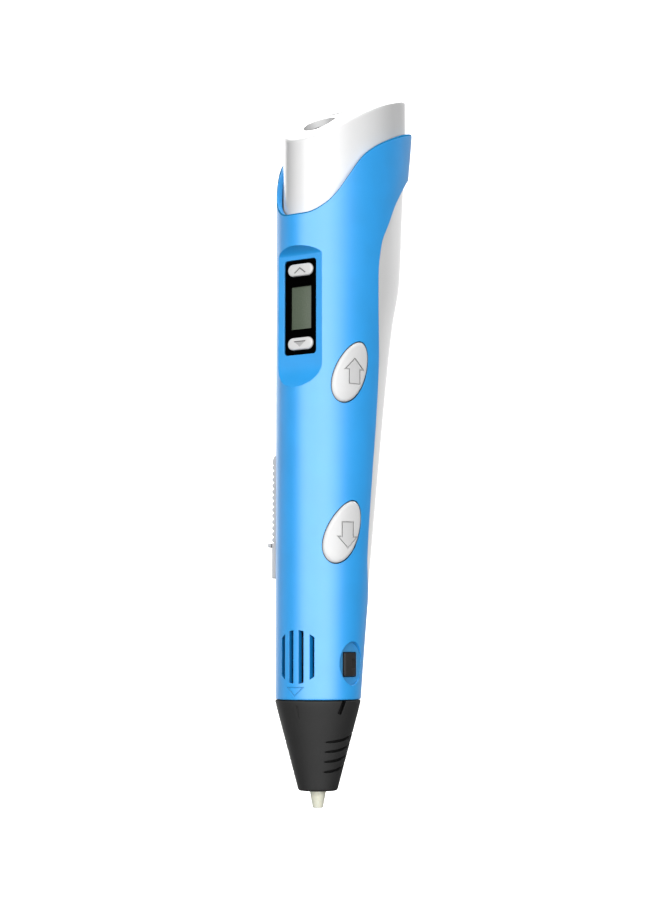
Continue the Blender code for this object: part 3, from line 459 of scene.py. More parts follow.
    # the rear casing's place
    side_run = [(smooth(PART_SIDE, z), z) for z in spread(156.1, 46.0, 160)]
    top_run = [(y, smooth(PART_TOP, y)) for y in spread(42, 18.9, 40)]
    line = top_run + side_run + [(13.6, PART_BOTTOM_Z + 0.5), (15.2, PART_BOTTOM_Z + 0.15),
                                 (18, PART_BOTTOM_Z), (42, PART_BOTTOM_Z)]
    cut(shell, slab("rear_place", line, -30, 30, SIDEWAYS))
    return shade(shell), line


def shifted(line, by):
    out = []
    for i, p in enumerate(line):
        a, b = line[max(i - 1, 0)], line[min(i + 1, len(line) - 1)]
        d = Vector((b[0] - a[0], b[1] - a[1])).normalized()
        out.append((p[0] - d.y * by, p[1] + d.x * by))
    return out


def build_rear_shell(line):
    n, rows = ((256, 130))
    lo, hi = 43.0, 168.0
    rings = [[body_point(i, n, z) for i in range(n)] for z in spread(lo, hi, rows)]
    rings += [[body_point(i, n, z, -WALL) for i in range(n)] for z in spread(hi, lo, 50)]
    shell = skin("rear_casing", rings, closed=True)
    cut(shell, slab("rear_region", shifted(line, 0.14), -30, 30, SIDEWAYS), "INTERSECT")
    holes = [rod_bm(2.3, -60, -14, place=axes((1, 0, 0), (0, 0, 1), (0, -1, 0), (0, 0, z))) for z in SCREWS]
    cut(shell, joined("screw_holes", *holes))
    return shade(shell)


def build_cap():
    n = 240
    edge = 0.75
    mid = (CAP_FRONT + CAP_BACK) / 2
    outer = [cap_point(i, n, 0) for i in range(n)]
    lows = [smooth(CAP_BOTTOM, p[1]) for p in outer]
    tops = [smooth(CAP_TOP, p[1]) for p in outer]
    rings = []
    for k in range(30):
        s = k / 29
        rings.append([(p[0], p[1], lo + (hi - edge - lo) * s) for p, lo, hi in zip(outer, lows, tops)])
    for k in range(1, 9):
        t = math.pi / 2 * k / 8
        e = edge * (1 - math.cos(t))
        ring = []
        for i in range(n):
            p = cap_point(i, n, 0, -e)
            ring.append((p[0], p[1], smooth(CAP_TOP, p[1]) - edge * (1 - math.sin(t))))
        rings.append(ring)
    base = [cap_point(i, n, 0, -edge) for i in range(n)]
    for k in range(1, 40):
        s = 1 - k / 40.5
        ring = [(x * s, mid + (y - mid) * s) for x, y, _ in base]
        rings.append([(x, y, smooth(CAP_TOP, y)) for x, y in ring])
    roof = [rings[-1]]
    inner_base = [cap_point(i, n, 0, -CAP_WALL) for i in range(n)]
    inner = []
    for k in range(0, 30):
        s = (k + 0.5) / 30
        ring = [(x * s, mid + (y - mid) * s) for x, y, _ in inner_base]
        inner.append([(x, y, smooth(CAP_TOP, y) - 1.9) for x, y in ring])
    for k in range(1, 12):
        s = k / 11
        inner.append([(x, y, smooth(CAP_TOP, y) - 1.9 + (smooth(CAP_BOTTOM, y) - smooth(CAP_TOP, y) + 1.9) * s)
                      for x, y, _ in inner_base])
    # outer skin and inner skin share the foot; each closes with its own small cap
    bm = bmesh.new()
    rows = [[bm.verts.new(p) for p in ring] for ring in rings]
    rows_in = [[bm.verts.new(p) for p in ring] for ring in inner]
    for low, high in list(zip(rows, rows[1:])) + list(zip(rows_in, rows_in[1:])) + [(rows_in[-1], rows[0])]:
        for i in range(n):
            j = (i + 1) % n
            bm.faces.new((low[i], low[j], high[j], high[i]))
    bm.faces.new(rows[-1])
    bm.faces.new(rows_in[0][::-1])
    cap = put("cap", bm)
    # the two ports, cut straight down as plain round holes
    slope = (smooth(CAP_TOP, PORT_Y + 2) - smooth(CAP_TOP, PORT_Y - 2)) / 4
    cut(cap, joined("ports", rod_bm(PORT_R, 155, 195, at=(0, PORT_Y), n=96),
                    rod_bm(INLET_R, 155, 195, at=(0, INLET_Y), n=64)))
    return shade(cap, 40)


# ============================================================ nose and tip
def nose_radius(z):
    return NOSE_TIP_R + (NOSE_R - NOSE_TIP_R) * (z - NOSE_TIP_Z) / (NOSE_TOP - 0.3 - NOSE_TIP_Z)


def groove_bm(z_mid, az_lo, az_hi, lift, n=56):
    rings = []
    for i in range(n):
        t = i / (n - 1)
        az = math.radians(az_lo + (az_hi - az_lo) * t)
        z = z_mid + lift * t ** 1.9
        depth, half = 0.45 + 0.5 * t, 0.26 + 0.22 * t
        # the groove tapers to nothing at both ends
        near = min(t, 1 - t) / 0.14
        tip = math.sqrt(max(1e-4, 1 - (1 - near) ** 2)) if near < 1 else 1.0
        h = half * max(tip, 0.12)
        r = nose_radius(z)
        ring = []
        prof = [(r + 0.7, -h * 1.5), (r + 0.02, -h * 1.08), (r - depth * tip * 0.75, -h * 0.75),
                (r - depth * tip, -h * 0.3), (r - depth * tip, h * 0.3), (r - depth * tip * 0.75, h * 0.75),
                (r + 0.02, h * 1.08), (r + 0.7, h * 1.5)]
        for rr, dz in prof:
            ring.append((rr * math.sin(az), -rr * math.cos(az), z + dz))
        rings.append(ring)
    return skin_bm(rings)


def build_nose():
    profile = [(SPIGOT_R, SPIGOT_TOP), (SPIGOT_R, NOSE_TOP), (NOSE_R, NOSE_TOP), (nose_radius(24), 24.0),
               (NOSE_TIP_R, NOSE_TIP_Z), (2.6, NOSE_TIP_Z), (2.6, 5.4), (3.6, 5.4), (SPIGOT_IN, 22.5),
               (SPIGOT_IN, SPIGOT_TOP)]
    radii = [0.3, 0.0, 0.45, 0.0, 0.55, 0.15, 0.0, 0.0, 0.0, 0.2]
    dense = []
    round_one = rounded(profile, radii, 5)
    for a, b in zip(round_one, round_one[1:] + round_one[:1]):
        dense.append(a)
        steps = int(math.hypot(b[0] - a[0], b[1] - a[1]) / 0.8)
        for k in range(1, steps):
            dense.append((a[0] + (b[0] - a[0]) * k / steps, a[1] + (b[1] - a[1]) * k / steps))
    nose = turned("nose", dense, 176)
    cutters = [groove_bm(z, side * 46, side * 140, 3.0) for z in (16.25, 13.87, 11.45, 8.95) for side in (1, -1)]
    # slanted release slot at the rim, and a shallow witness groove further round the front
    slot_az = math.radians(68)
    e = (math.sin(slot_az), -math.cos(slot_az), 0)
    f = (math.cos(slot_az), math.sin(slot_az), 0)
    r = nose_radius(24.3)
    place = axes(f, (0, 0, 1), e, (e[0] * r, e[1] * r, 24.35))
    turn = Matrix.Rotation(math.radians(-16), 4, "Z")
    cutters.append(slab_bm(round_box(0, 0.4, 1.2, 3.5, 0.25), -1.0, 1.6, place @ turn))
    az2 = math.radians(4)
    e2 = (math.sin(az2), -math.cos(az2), 0)
    f2 = (math.cos(az2), math.sin(az2), 0)
    r2 = nose_radius(23.7)
    place2 = axes(f2, (0, 0, 1), e2, (e2[0] * r2, e2[1] * r2, 23.6))
    cutters.append(slab_bm(round_box(0, 0, 0.5, 3.0, 0.2), -0.17, 1.6,
                           place2 @ Matrix.Rotation(math.radians(14.9), 4, "X")))
    cut(nose, joined("grips", *cutters))
    return shade(nose, 38)


def build_nozzle():
    profile = [(1.26, 0.0), (0.35, 0.0), (0.35, 1.6), (1.0, 3.0), (1.0, 11.7), (2.2, 11.7), (2.2, 5.2), (2.04, 4.2)]
    radii = [0.22, 0.08, 0, 0, 0, 0.2, 0, 0.0]
    return shade(turned("nozzle", rounded(profile, radii, 5), 96), 40)


# ============================================================ display
def build_bezel():
    bm = slab_bm(round_box(0, (WINDOW_LO + WINDOW_HI) / 2, 2 * WINDOW_HALF - 0.24,
                           WINDOW_HI - WINDOW_LO - 0.24, 0.85, 10), -BEZEL_BACK, -BEZEL_FACE, FACING, 0.16, 3)
    bezel = put("display_frame", bm)
    tools = [box_bm((-LCD_HALF, LCD_LO, 0), (LCD_HALF, LCD_HI, 12), FACING)]
    for z in (TEMP_UP_Z, TEMP_DOWN_Z):
        tools.append(slab_bm(round_box(0, z, TEMP_LONG + 0.3, TEMP_TALL + 0.3, TEMP_TALL / 2 + 0.14, 14), 2, 14,
                             FACING))
    cut(bezel, joined("bezel_holes", *tools))
    return shade(bezel)


def build_lcd():
    body = put("screen", box_bm((-3.9, 117.0, 4.2), (3.9, 130.0, 6.1), FACING, 0.1))
    glass = put("screen_glass", box_bm((-LCD_HALF + 0.06, LCD_LO + 0.06, 5.5), (LCD_HALF - 0.06, LCD_HI - 0.06, 7.3),
                                       FACING, 0.08))
    cut(body, glass, "UNION")
    return shade(body)


def build_temp(name, z, up):
    """A pill with a face rounded at its rim, and an engraved arrowhead."""
    cap = put(name, slab_bm(round_box(0, z, TEMP_LONG, TEMP_TALL, TEMP_TALL / 2 - 0.02, 14), 5.95, 8.3, FACING,
                            0.42, 5))
    flange = put("flange", slab_bm(round_box(0, z, TEMP_LONG + 1.0, TEMP_TALL + 0.9, TEMP_TALL / 2 + 0.4, 14),
                                   5.9, 6.4, FACING))
    cut(cap, flange, "UNION")
    s = 1 if up else -1
    if up:  # an open chevron of two strokes
        pts = [(-1.75, -0.72), (0, 0.62), (1.75, -0.72), (1.42, -0.86), (0, 0.24), (-1.42, -0.86)]
    else:  # a bar with a fainter triangle hanging from it
        pts = [(-1.75, 0.66), (1.75, 0.66), (1.6, 0.36), (-1.6, 0.36)]
        cut(cap, put("hang", slab_bm([(-1.3, z + 0.25), (1.3, z + 0.25), (0, z - 0.8)], 8.23, 9, FACING)))
    pts = [(x, z + dz) for x, dz in pts]
    cut(cap, put("mark", slab_bm(pts, 8.17, 9, FACING)))
    return shade(cap, 40)


# ============================================================ side keys
def outer_depth(w, z, grow=0.0):
    """How far out along the keys' axis the cover's surface lies, at a place across and up."""
    lo, hi = 4.0, 16.0
    back, half = smooth(COVER_BACK, z) + grow, smooth(COVER_HALF, z) + grow
    mid, a = (back - FRONT - grow) / 2, (back + FRONT + grow) / 2
    for _ in range(40):
        m = (lo + hi) / 2
        x, y = KEY_N[0] * m + KEY_W[0] * w, KEY_N[1] * m + KEY_W[1] * w
        if (x / half) ** 2 + ((y - mid) / a) ** 2 < 1:
            lo = m
        else:
            hi = m
    return (lo + hi) / 2


ARROW_LINE = 0.3


def block_arrow(cx, cz, up, tall=6.7, wide=6.3, stem=3.6, head=3.1):
    s = 1 if up else -1
    pts = [(-stem / 2, -tall / 2), (-stem / 2, tall / 2 - head), (-wide / 2, tall / 2 - head), (0, tall / 2),
           (wide / 2, tall / 2 - head), (stem / 2, tall / 2 - head), (stem / 2, -tall / 2)]
    return [(cx + x, cz + s * y) for x, y in pts]


def inset(points, by):
    """The outline moved in by a distance, corners kept sharp."""
    out, m = [], len(points)
    area = sum(a[0] * b[1] - b[0] * a[1] for a, b in zip(points, points[1:] + points[:1]))
    turn = 1 if area > 0 else -1
    for i in range(m):
        a, b, c = (Vector(points[j % m]) for j in (i - 1, i, i + 1))
        d, e = (b - a).normalized(), (c - b).normalized()
        p, q = Vector((-d.y, d.x)) * turn, Vector((-e.y, e.x)) * turn
        move = (p + q) / (1 + p.dot(q))
        out.append((b.x + move.x * by, b.y + move.y * by))
    return out


def inside(points, x, y):
    found = False
    for (x0, y0), (x1, y1) in zip(points, points[1:] + points[:1]):
        if (y0 > y) != (y1 > y) and x < (x1 - x0) * (y - y0) / (y1 - y0) + x0:
            found = not found
    return found


def key_arrow(w0, z0, up):
    return block_arrow(w0 + (0.65 if up else 0.75), z0 + (0.2 if up else -0.85), up)


def build_key(name, w0, z0, up):
    """The face follows the cover, stands a little proud and rolls off round its rim."""
    n, rings_n = 120, 34
    st, ct = math.sin(KEY_TILT), math.cos(KEY_TILT)

    def at(rho, t, depth):
        u, v = KEY_LONG * rho * math.cos(t), KEY_SHORT * rho * math.sin(t) * (1 - EGG * math.cos(t))
        w, z = w0 + u * st - v * ct, z0 + u * ct + v * st
        return (KEY_N[0] * depth + KEY_W[0] * w, KEY_N[1] * depth + KEY_W[1] * w, z), w, z

    rings = []
    roll, crown = 0.75, 0.12
    for k in range(rings_n + 1):
        s = k / rings_n
        rho = 1 - (1 - s) ** 1.0 * 0.985
        ring = []
        for i in range(n):
            t = 2 * math.pi * i / n
            _, w, z = at(rho, t, 0)
            # distance in from the rim, in millimetres
            inward = (1 - rho) * KEY_SHORT
            q = min(inward / roll, 1.0)
            drop = (1 - math.sqrt(max(0.0, 1 - (1 - q) ** 2))) * 0.55
            depth = outer_depth(w, z, KEY_PROUD) - drop - crown * rho * rho
            ring.append(at(rho, t, depth)[0])
        rings.append(ring)
    side = []
    for i in range(n):
        t = 2 * math.pi * i / n
        side.append(at(1.0, t, 6.6)[0])
    rings.append(side)
    key = skin(name, rings)
    cut(key, put("flange", slab_bm(ellipse(KEY_LONG + 0.7, KEY_SHORT + 0.7, KEY_TILT, w0, z0, n), 6.6, 7.4, KEY_PLACE)),
        "UNION")
    outline = key_arrow(w0, z0, up)
    for shape, hole, deep in ((outline, None, 0.13), (outline, inset(outline, ARROW_LINE), 0.42)):
        tool = put("arrow", slab_bm(shape, 4, 16, KEY_PLACE))
        if hole:
            cut(tool, put("island", slab_bm(hole, 3, 17, KEY_PLACE)))
        rows = [[cover_point(i, 200, z, KEY_PROUD - deep) for i in range(200)] for z in spread(z0 - 12, z0 + 12, 30)]
        cut(tool, skin("arrow_floor", rows))
        cut(key, tool)
    return shade(key, 38)


# ============================================================ speed slider
def build_track():
    deep, face = 9.5, TRACK_FACE
    line = [(deep, TRACK_LO), (face - 0.12, TRACK_LO), (face, TRACK_LO + 0.15), (face, RIB_START - RIB_PITCH / 2)]
    for k in range(RIBS):
        for j in range(10):
            t = j / 10
            z = RIB_START + (k - 0.5 + t) * RIB_PITCH
            line.append((face - RIB_DEPTH * (0.5 + 0.5 * math.cos(2 * math.pi * t)) ** 2.2, z))
    end = RIB_START + (RIBS - 0.5) * RIB_PITCH
    line += [(face - 0.05, end + 0.1)]
    for j in range(1, 9):
        t = j / 8
        z = end + 0.1 + (TRACK_HI - end - 0.1) * math.sin(t * math.pi / 2)
        line.append((face - 0.05 - 0.95 * (1 - math.cos(t * math.pi / 2)), z))
    line.append((deep, TRACK_HI))
    bm = slab_bm(line, *along_v(SLIDE_V0 - TRACK_HALF, SLIDE_V0 + TRACK_HALF), SLIDE_SIDE, 0.22, 3, both=True)
    track = put("slider_strip", bm)
    slot = slab_bm([(5, KNOB_Z - 0.5), (16, KNOB_Z - 0.5), (16, KNOB_Z + 20.3), (5, KNOB_Z + 20.3)],
                   *along_v(SLIDE_V0 - 0.7, SLIDE_V0 + 0.7), SLIDE_SIDE)
    cut(track, put("slot", slot))
    return shade(track, 40)


def build_knob():
    def side_box(m0, m1, z0, z1, half, edge):
        bm = box_bm((m0, z0, -half), (m1, z1, half), None, edge)
        d0, d1 = along_v(SLIDE_V0 - half, SLIDE_V0 + half)
        bmesh.ops.translate(bm, vec=(0, 0, (d0 + d1) / 2), verts=bm.verts)
        bmesh.ops.transform(bm, matrix=SLIDE_SIDE, verts=bm.verts)
        return bm
    knob = put("slider_tab", side_box(11.95, 12.9, KNOB_Z - 0.5, KNOB_Z + 0.5, 1.9, 0.2))
    cut(knob, put("neck", side_box(8.2, 12.4, KNOB_Z - 0.42, KNOB_Z + 0.42, 0.42, 0.0)), "UNION")
    cut(knob, put("foot", side_box(7.95, 8.6, KNOB_Z - 1.6, KNOB_Z + 1.6, 1.5, 0.1)), "UNION")
    return shade(knob, 40)


BOSS_R = 10.2


def build_latch():
    """A pad whose face follows the bore it slides in, with a thumb piece in the window and a short leg."""
    z0, z1, half, r = 31.4, 39.0, 2.2, 8.78
    rings = []
    for z, back_off in ((z0, 0.25), (z0 + 0.2, 0.06), (z0 + 0.5, 0.0), (z1 - 0.5, 0.0), (z1 - 0.2, 0.06), (z1, 0.25)):
        ring = [(LATCH_F0 - half, z, 7.4), (LATCH_F0 + half, z, 7.4)]
        for k in range(17):
            f = LATCH_F0 + half - 2 * half * k / 16
            e = math.sqrt(r * r - f * f) - back_off
            ring.append((f, z, e))
        rings.append(ring)
    bm = skin_bm(rings)
    bmesh.ops.transform(bm, matrix=LATCH_PLACE, verts=bm.verts)
    pad = put("latch_pad", bm)
    cut(pad, put("leg", box_bm((LATCH_F0 - 1.2, SPIGOT_TOP + 0.3, 7.45), (LATCH_F0 + 1.2, 31.9, 8.35), LATCH_PLACE)),
        "UNION")
    # the thumb piece that fills the window, its face following the cover
    boss = put("boss", box_bm((LATCH_F0 - LATCH_HALF + 0.16, LATCH_LO + 0.16, 8.0),
                              (LATCH_F0 + LATCH_HALF - 0.16, LATCH_HI - 0.16, 12.0), LATCH_PLACE))
    rows = []
    for k in range(33):
        f = LATCH_F0 - 3.2 + 6.4 * k / 32
        rows.append((f, math.sqrt(BOSS_R ** 2 - f * f)))
    wedge = slab_bm([(f, e) for f, e in rows] + [(LATCH_F0 + 3.2, 6.0), (LATCH_F0 - 3.2, 6.0)], LATCH_LO - 1,
                    LATCH_HI + 1, axes((*LATCH_F, 0), (*LATCH_E, 0), (0, 0, 1)))
    cut(boss, put("wedge", wedge), "INTERSECT")
    soften = boss.modifiers.new("soften", "BEVEL")
    soften.width, soften.segments, soften.limit_method = 0.00025, 3, "ANGLE"
    soften.angle_limit = math.radians(40)
    bpy.context.view_layer.update()
    mesh = bpy.data.meshes.new_from_object(boss.evaluated_get(bpy.context.evaluated_depsgraph_get()))
    boss.modifiers.clear()
    boss.data = mesh
    cut(pad, boss, "UNION", "EXACT")
    # a finger step across its right half
    cut(pad, put("step", box_bm((LATCH_F0 + 0.2, 34.0, 9.6), (LATCH_F0 + 3.4, 36.3, 12), LATCH_PLACE)))
    return shade(pad, 30)


def build_jack():
    profile = [(0, 165.6), (0.35, 165.5), (0.7, 165.1), (0.7, 158.6), (2.8, 158.6), (2.8, 167.2), (2.95, 167.4),
               (3.5, 167.4), (3.7, 167.2), (3.7, 159.0), (4.8, 159.0), (4.8, 155.0), (0, 155.0)]
    place = Matrix.Translation((0, PORT_Y, 0))
    return shade(turned("jack", profile, 64, closed=False, place=place), 40)


def build_bush():
    profile = rounded([(1.55, 174.6), (1.55, 171.4), (3.2, 171.4), (3.2, 168.2), (1.0, 168.2), (1.0, 174.6)],
                      [0.12, 0, 0.2, 0.2, 0, 0.35], 4)
    return shade(turned("inlet", profile, 64, place=Matrix.Translation((0, INLET_Y, 0))), 40)


front, part_line = build_front_shell()
rear = build_rear_shell(part_line)
cap = build_cap()
nose = build_nose()
nozzle = build_nozzle()
bezel = build_bezel()
lcd = build_lcd()
temp_up = build_temp("temp_up", TEMP_UP_Z, True)
temp_down = build_temp("temp_down", TEMP_DOWN_Z, False)
feed = build_key("feed_key_cap", FEED_W, FEED_Z, False)
retract = build_key("retract_key_cap", RETRACT_W, RETRACT_Z, True)
track = build_track()
knob = build_knob()
latch = build_latch()
jack = build_jack()
bush = build_bush()


# ============================================================ materials
def linear(*rgb):
    return tuple(c / 255 / 12.92 if c / 255 <= 0.04045 else ((c / 255 + 0.055) / 1.055) ** 2.4 for c in rgb) + (1.0,)


class Nodes:
    """A small helper for building a material's node tree."""

    def __init__(self, name):
        self.mat = bpy.data.materials.new(name)
        self.mat.use_nodes = True
        self.tree = self.mat.node_tree
        self.shader = self.tree.nodes["Principled BSDF"]

    def add(self, kind, **values):
        node = self.tree.nodes.new(kind)
        for key, value in values.items():
            if hasattr(node, key):
                setattr(node, key, value)
            else:
                node.inputs[key.replace("_", " ")].default_value = value
        return node

    def link(self, a, b):
        self.tree.links.new(a, b)

    def coords(self, scale=(1, 1, 1)):
        place = self.add("ShaderNodeTexCoord")
        mapping = self.add("ShaderNodeMapping")
        mapping.inputs["Scale"].default_value = scale
        self.link(place.outputs["Object"], mapping.inputs["Vector"])
        return mapping.outputs["Vector"]

    def noise(self, scale, detail=4.0, rough=0.5, stretch=(1, 1, 1)):
        node = self.add("ShaderNodeTexNoise")
        node.inputs["Scale"].default_value = scale
        node.inputs["Detail"].default_value = detail
        node.inputs["Roughness"].default_value = rough
        self.link(self.coords(stretch), node.inputs["Vector"])
        return node.outputs["Fac"]

    def ramp(self, source, stops):
        node = self.add("ShaderNodeValToRGB")
        band = node.color_ramp
        while len(band.elements) < len(stops):
            band.elements.new(0.5)
        for element, (at, colour) in zip(band.elements, stops):
            element.position, element.color = at, colour
        self.link(source, node.inputs["Fac"])
        return node.outputs["Color"]

    def span(self, source, lo, hi):
        node = self.add("ShaderNodeMapRange")
        node.inputs["To Min"].default_value = lo
        node.inputs["To Max"].default_value = hi
        self.link(source, node.inputs["Value"])
        return node.outputs["Result"]

    def painted_crevice_shade(self, colour, reach, dark):
        """Painted shade: the colour darkened where another surface comes close, as in a joint between parts or round a
        key.
        """
        near = self.add("ShaderNodeAmbientOcclusion")
        near.samples = 4
        near.inputs["Distance"].default_value = reach
        level_in = self.add("ShaderNodeMapRange")
        for name, value in (("From Min", 0.15), ("From Max", 0.8), ("To Min", dark), ("To Max", 1.0)):
            level_in.inputs[name].default_value = value
        scaled = self.add("ShaderNodeVectorMath", operation="SCALE")
        self.link(near.outputs["AO"], level_in.inputs["Value"])
        self.link(colour, scaled.inputs[0])
        self.link(level_in.outputs["Result"], scaled.inputs["Scale"])
        return scaled.outputs["Vector"]

    def remap(self, source, a, b, to_a, to_b):
        node = self.add("ShaderNodeMapRange")
        node.interpolation_type = "SMOOTHSTEP"
        for name, value in (("From Min", a), ("From Max", b), ("To Min", to_a), ("To Max", to_b)):
            node.inputs[name].default_value = value
        self.link(source, node.inputs["Value"])
        return node.outputs["Result"]

    def math(self, operation, a, b):
        node = self.add("ShaderNodeMath", operation=operation)
        for socket, value in zip(node.inputs, (a, b)):
            if isinstance(value, float):
                socket.default_value = value
            else:
                self.link(value, socket)
        return node.outputs["Value"]

    def facing(self):
        weight = self.add("ShaderNodeLayerWeight")
        weight.inputs["Blend"].default_value = 0.5
        return weight.outputs["Facing"]

    def upward(self):
        """How far the surface faces up."""
        sep = self.add("ShaderNodeSeparateXYZ")
        self.link(self.add("ShaderNodeNewGeometry").outputs["Normal"], sep.inputs["Vector"])
        return sep.outputs["Z"]

    def shade_walls_turned_away(self, colour, turn_shade):
        """Painted shade: upright walls are darkened a little as they turn from the viewer."""
        away = self.remap(self.facing(), 0.2, 0.65, 0.0, 1.0 - turn_shade)
        wall = self.remap(self.upward(), 0.3, 0.6, 1.0, 0.0)
        scaled = self.add("ShaderNodeVectorMath", operation="SCALE")
        self.link(colour, scaled.inputs[0])
        self.link(self.math("SUBTRACT", 1.0, self.math("MULTIPLY", away, wall)), scaled.inputs["Scale"])
        return scaled.outputs["Vector"]

    def painted_glow(self, edge, top):
        """Painted light as emission: a pale edge where the surface turns away, a painted rim highlight, and a painted
        lift on faces turned up under the top light.
        """
        rim = self.remap(self.facing(), 0.35 if top == 0 else 0.62, 0.95, 0.0, edge)
        lift = self.math("MULTIPLY", self.remap(self.upward(), 0.4, 0.75, 0.0, top),
                         self.remap(self.facing(), 0.35, 0.65, 0.0, 1.0))
        self.link(self.math("ADD", rim, lift), self.shader.inputs["Emission Strength"])
        self.set(Emission_Color=(1, 1, 1, 1))

    def bump(self, source, strength, distance=0.0001, below=None):
        node = self.add("ShaderNodeBump")
        node.inputs["Strength"].default_value = strength
        node.inputs["Distance"].default_value = distance
        self.link(source, node.inputs["Height"])
        if below is not None:
            self.link(below, node.inputs["Normal"])
        return node.outputs["Normal"]

    def round_edges(self, radius):
        node = self.add("ShaderNodeBevel")
        node.samples = 4
        node.inputs["Radius"].default_value = radius
        return node.outputs["Normal"]

    def set(self, **values):
        for key, value in values.items():
            self.shader.inputs[key.replace("_", " ")].default_value = value


def plastic(name, colour, rough, grain=0.08, grain_scale=9000.0, edge=0.00018, coat=0.0, vary=0.03,
            sheen_rough=0.08, ior=1.48, gap_shade_level=0.3, reach=0.0006, painted_glow=0.0, turn_shade=1.0, top=0.0):
    """Moulded plastic: faint mottling, spark-eroded grain, uneven gloss, softened edges; painted shade near other
    surfaces and, where asked, painted shade on walls turned from the viewer and painted light on edges and upward
    faces.
    """
    k = Nodes(name)
    cloud = k.noise(160.0, 3.0, 0.55)
    c = linear(*colour)
    dark = tuple(v * (1 - vary) for v in c[:3]) + (1,)
    light = tuple(min(1.0, v * (1 + vary)) for v in c[:3]) + (1,)
    tone = k.ramp(cloud, ((0.3, dark), (0.7, light)))
    # painted shade: upright walls darkened as they turn from the viewer
    if turn_shade < 1:
        tone = k.shade_walls_turned_away(tone, turn_shade)
    # painted shade: the colour darkened where other surfaces come close
    k.link(k.painted_crevice_shade(tone, reach, gap_shade_level) if gap_shade_level < 1 else tone, k.shader.inputs["Base Color"])
    # painted light: emission on edges turned away and on upward faces
    if painted_glow or top:
        k.painted_glow(painted_glow, top)
    fine = k.noise(grain_scale, 2.0, 0.5)
    k.link(k.span(k.noise(420.0, 5.0, 0.6), rough - sheen_rough / 2, rough + sheen_rough / 2),
           k.shader.inputs["Roughness"])
    k.link(k.bump(fine, grain, 0.00002, k.round_edges(edge)), k.shader.inputs["Normal"])
    k.set(IOR=ior, Coat_Weight=coat)
    return k.mat


def blue_plastic(name="cover_blue_satin", base=(0.024, 0.355, 0.84), ior=1.84):
    """Satin coloured cover: fine grain, uneven gloss, darker in its joints and gaps as painted shade."""
    k = Nodes(name)
    cloud = k.noise(140.0, 3.0, 0.5)
    a = tuple(v * 0.965 for v in base[:3]) + (1,)
    b = tuple(min(1.0, v * 1.03) for v in base[:3]) + (1,)
    # painted shade: the blue darkened where other surfaces come close
    k.link(k.painted_crevice_shade(k.ramp(cloud, ((0.3, a), (0.7, b))), 0.0006, 0.22), k.shader.inputs["Base Color"])
    k.link(k.span(k.noise(380.0, 5.0, 0.6), 0.33, 0.4), k.shader.inputs["Roughness"])
    fine = k.noise(7000.0, 2.0, 0.5)
    k.link(k.bump(fine, 0.05, 0.00002, k.round_edges(0.0002)), k.shader.inputs["Normal"])
    k.set(IOR=ior)
    return k.mat


def metal(name, colour, rough, stretch=(1, 1, 18), scale=900.0):
    """Machined metal with fine tool lines and slight tarnish."""
    k = Nodes(name)
    lines = k.noise(scale, 4.0, 0.6, stretch)
    patch = k.noise(240.0, 4.0, 0.6)
    c = linear(*colour)
    dull = tuple(v * 0.72 for v in c[:3]) + (1,)
    k.link(k.ramp(patch, ((0.35, dull), (0.65, c))), k.shader.inputs["Base Color"])
    k.link(k.span(lines, rough - 0.08, rough + 0.14), k.shader.inputs["Roughness"])
    k.link(k.bump(lines, 0.12, 0.00003, k.round_edges(0.00012)), k.shader.inputs["Normal"])
    k.set(Metallic=1.0)
    return k.mat


def board_material():
    """Green solder mask with lighter tracks and a scatter of pads."""
    k = Nodes("circuit_board_mask")
    brick = k.add("ShaderNodeTexBrick")
    brick.inputs["Scale"].default_value = 420.0
    brick.inputs["Mortar Size"].default_value = 0.035
    brick.inputs["Color1"].default_value = linear(16, 92, 48)
    brick.inputs["Color2"].default_value = linear(12, 80, 40)
    brick.inputs["Mortar"].default_value = linear(46, 140, 84)
    k.link(k.coords(), brick.inputs["Vector"])
    k.link(brick.outputs["Color"], k.shader.inputs["Base Color"])
    k.link(k.span(k.noise(500.0), 0.3, 0.48), k.shader.inputs["Roughness"])
    k.link(k.bump(brick.outputs["Fac"], 0.3, 0.00004), k.shader.inputs["Normal"])
    return k.mat


def screen_material():
    """Grey-green liquid crystal behind glass, with a faint weave of cells."""
    k = Nodes("screen_grey_green")
    sep = k.add("ShaderNodeSeparateXYZ")
    k.link(k.coords(), sep.inputs["Vector"])
    cells = k.noise(2600.0, 1.0, 0.5)
    face = k.ramp(cells, ((0.3, linear(92, 102, 87)), (0.7, linear(86, 96, 81))))
    k.link(face, k.shader.inputs["Base Color"])
    k.link(k.span(k.noise(300.0), 0.1, 0.16), k.shader.inputs["Roughness"])
    k.set(IOR=1.5, Coat_Weight=0.6, Coat_Roughness=0.04)
    return k.mat


def ceramic_material():
    k = Nodes("fired_ceramic")
    spots = k.noise(1500.0, 5.0, 0.6)
    k.link(k.ramp(spots, ((0.3, linear(206, 206, 188)), (0.7, linear(216, 216, 199)))), k.shader.inputs["Base Color"])
    k.link(k.span(k.noise(900.0), 0.4, 0.55), k.shader.inputs["Roughness"])
    k.link(k.bump(k.noise(4000.0, 3.0), 0.12, 0.00003), k.shader.inputs["Normal"])
    k.set(Subsurface_Weight=0.15, Subsurface_Scale=0.0008, Subsurface_Radius=(1.0, 0.8, 0.6))
    return k.mat


def wire_material(name, colour):
    k = Nodes(name)
    c = linear(*colour)
    d = tuple(v * 0.8 for v in c[:3]) + (1,)
    k.link(k.ramp(k.noise(700.0, 3.0), ((0.3, d), (0.7, c))), k.shader.inputs["Base Color"])
    k.link(k.span(k.noise(900.0), 0.38, 0.52), k.shader.inputs["Roughness"])
    k.link(k.bump(k.noise(2500.0), 0.1, 0.00003), k.shader.inputs["Normal"])
    return k.mat


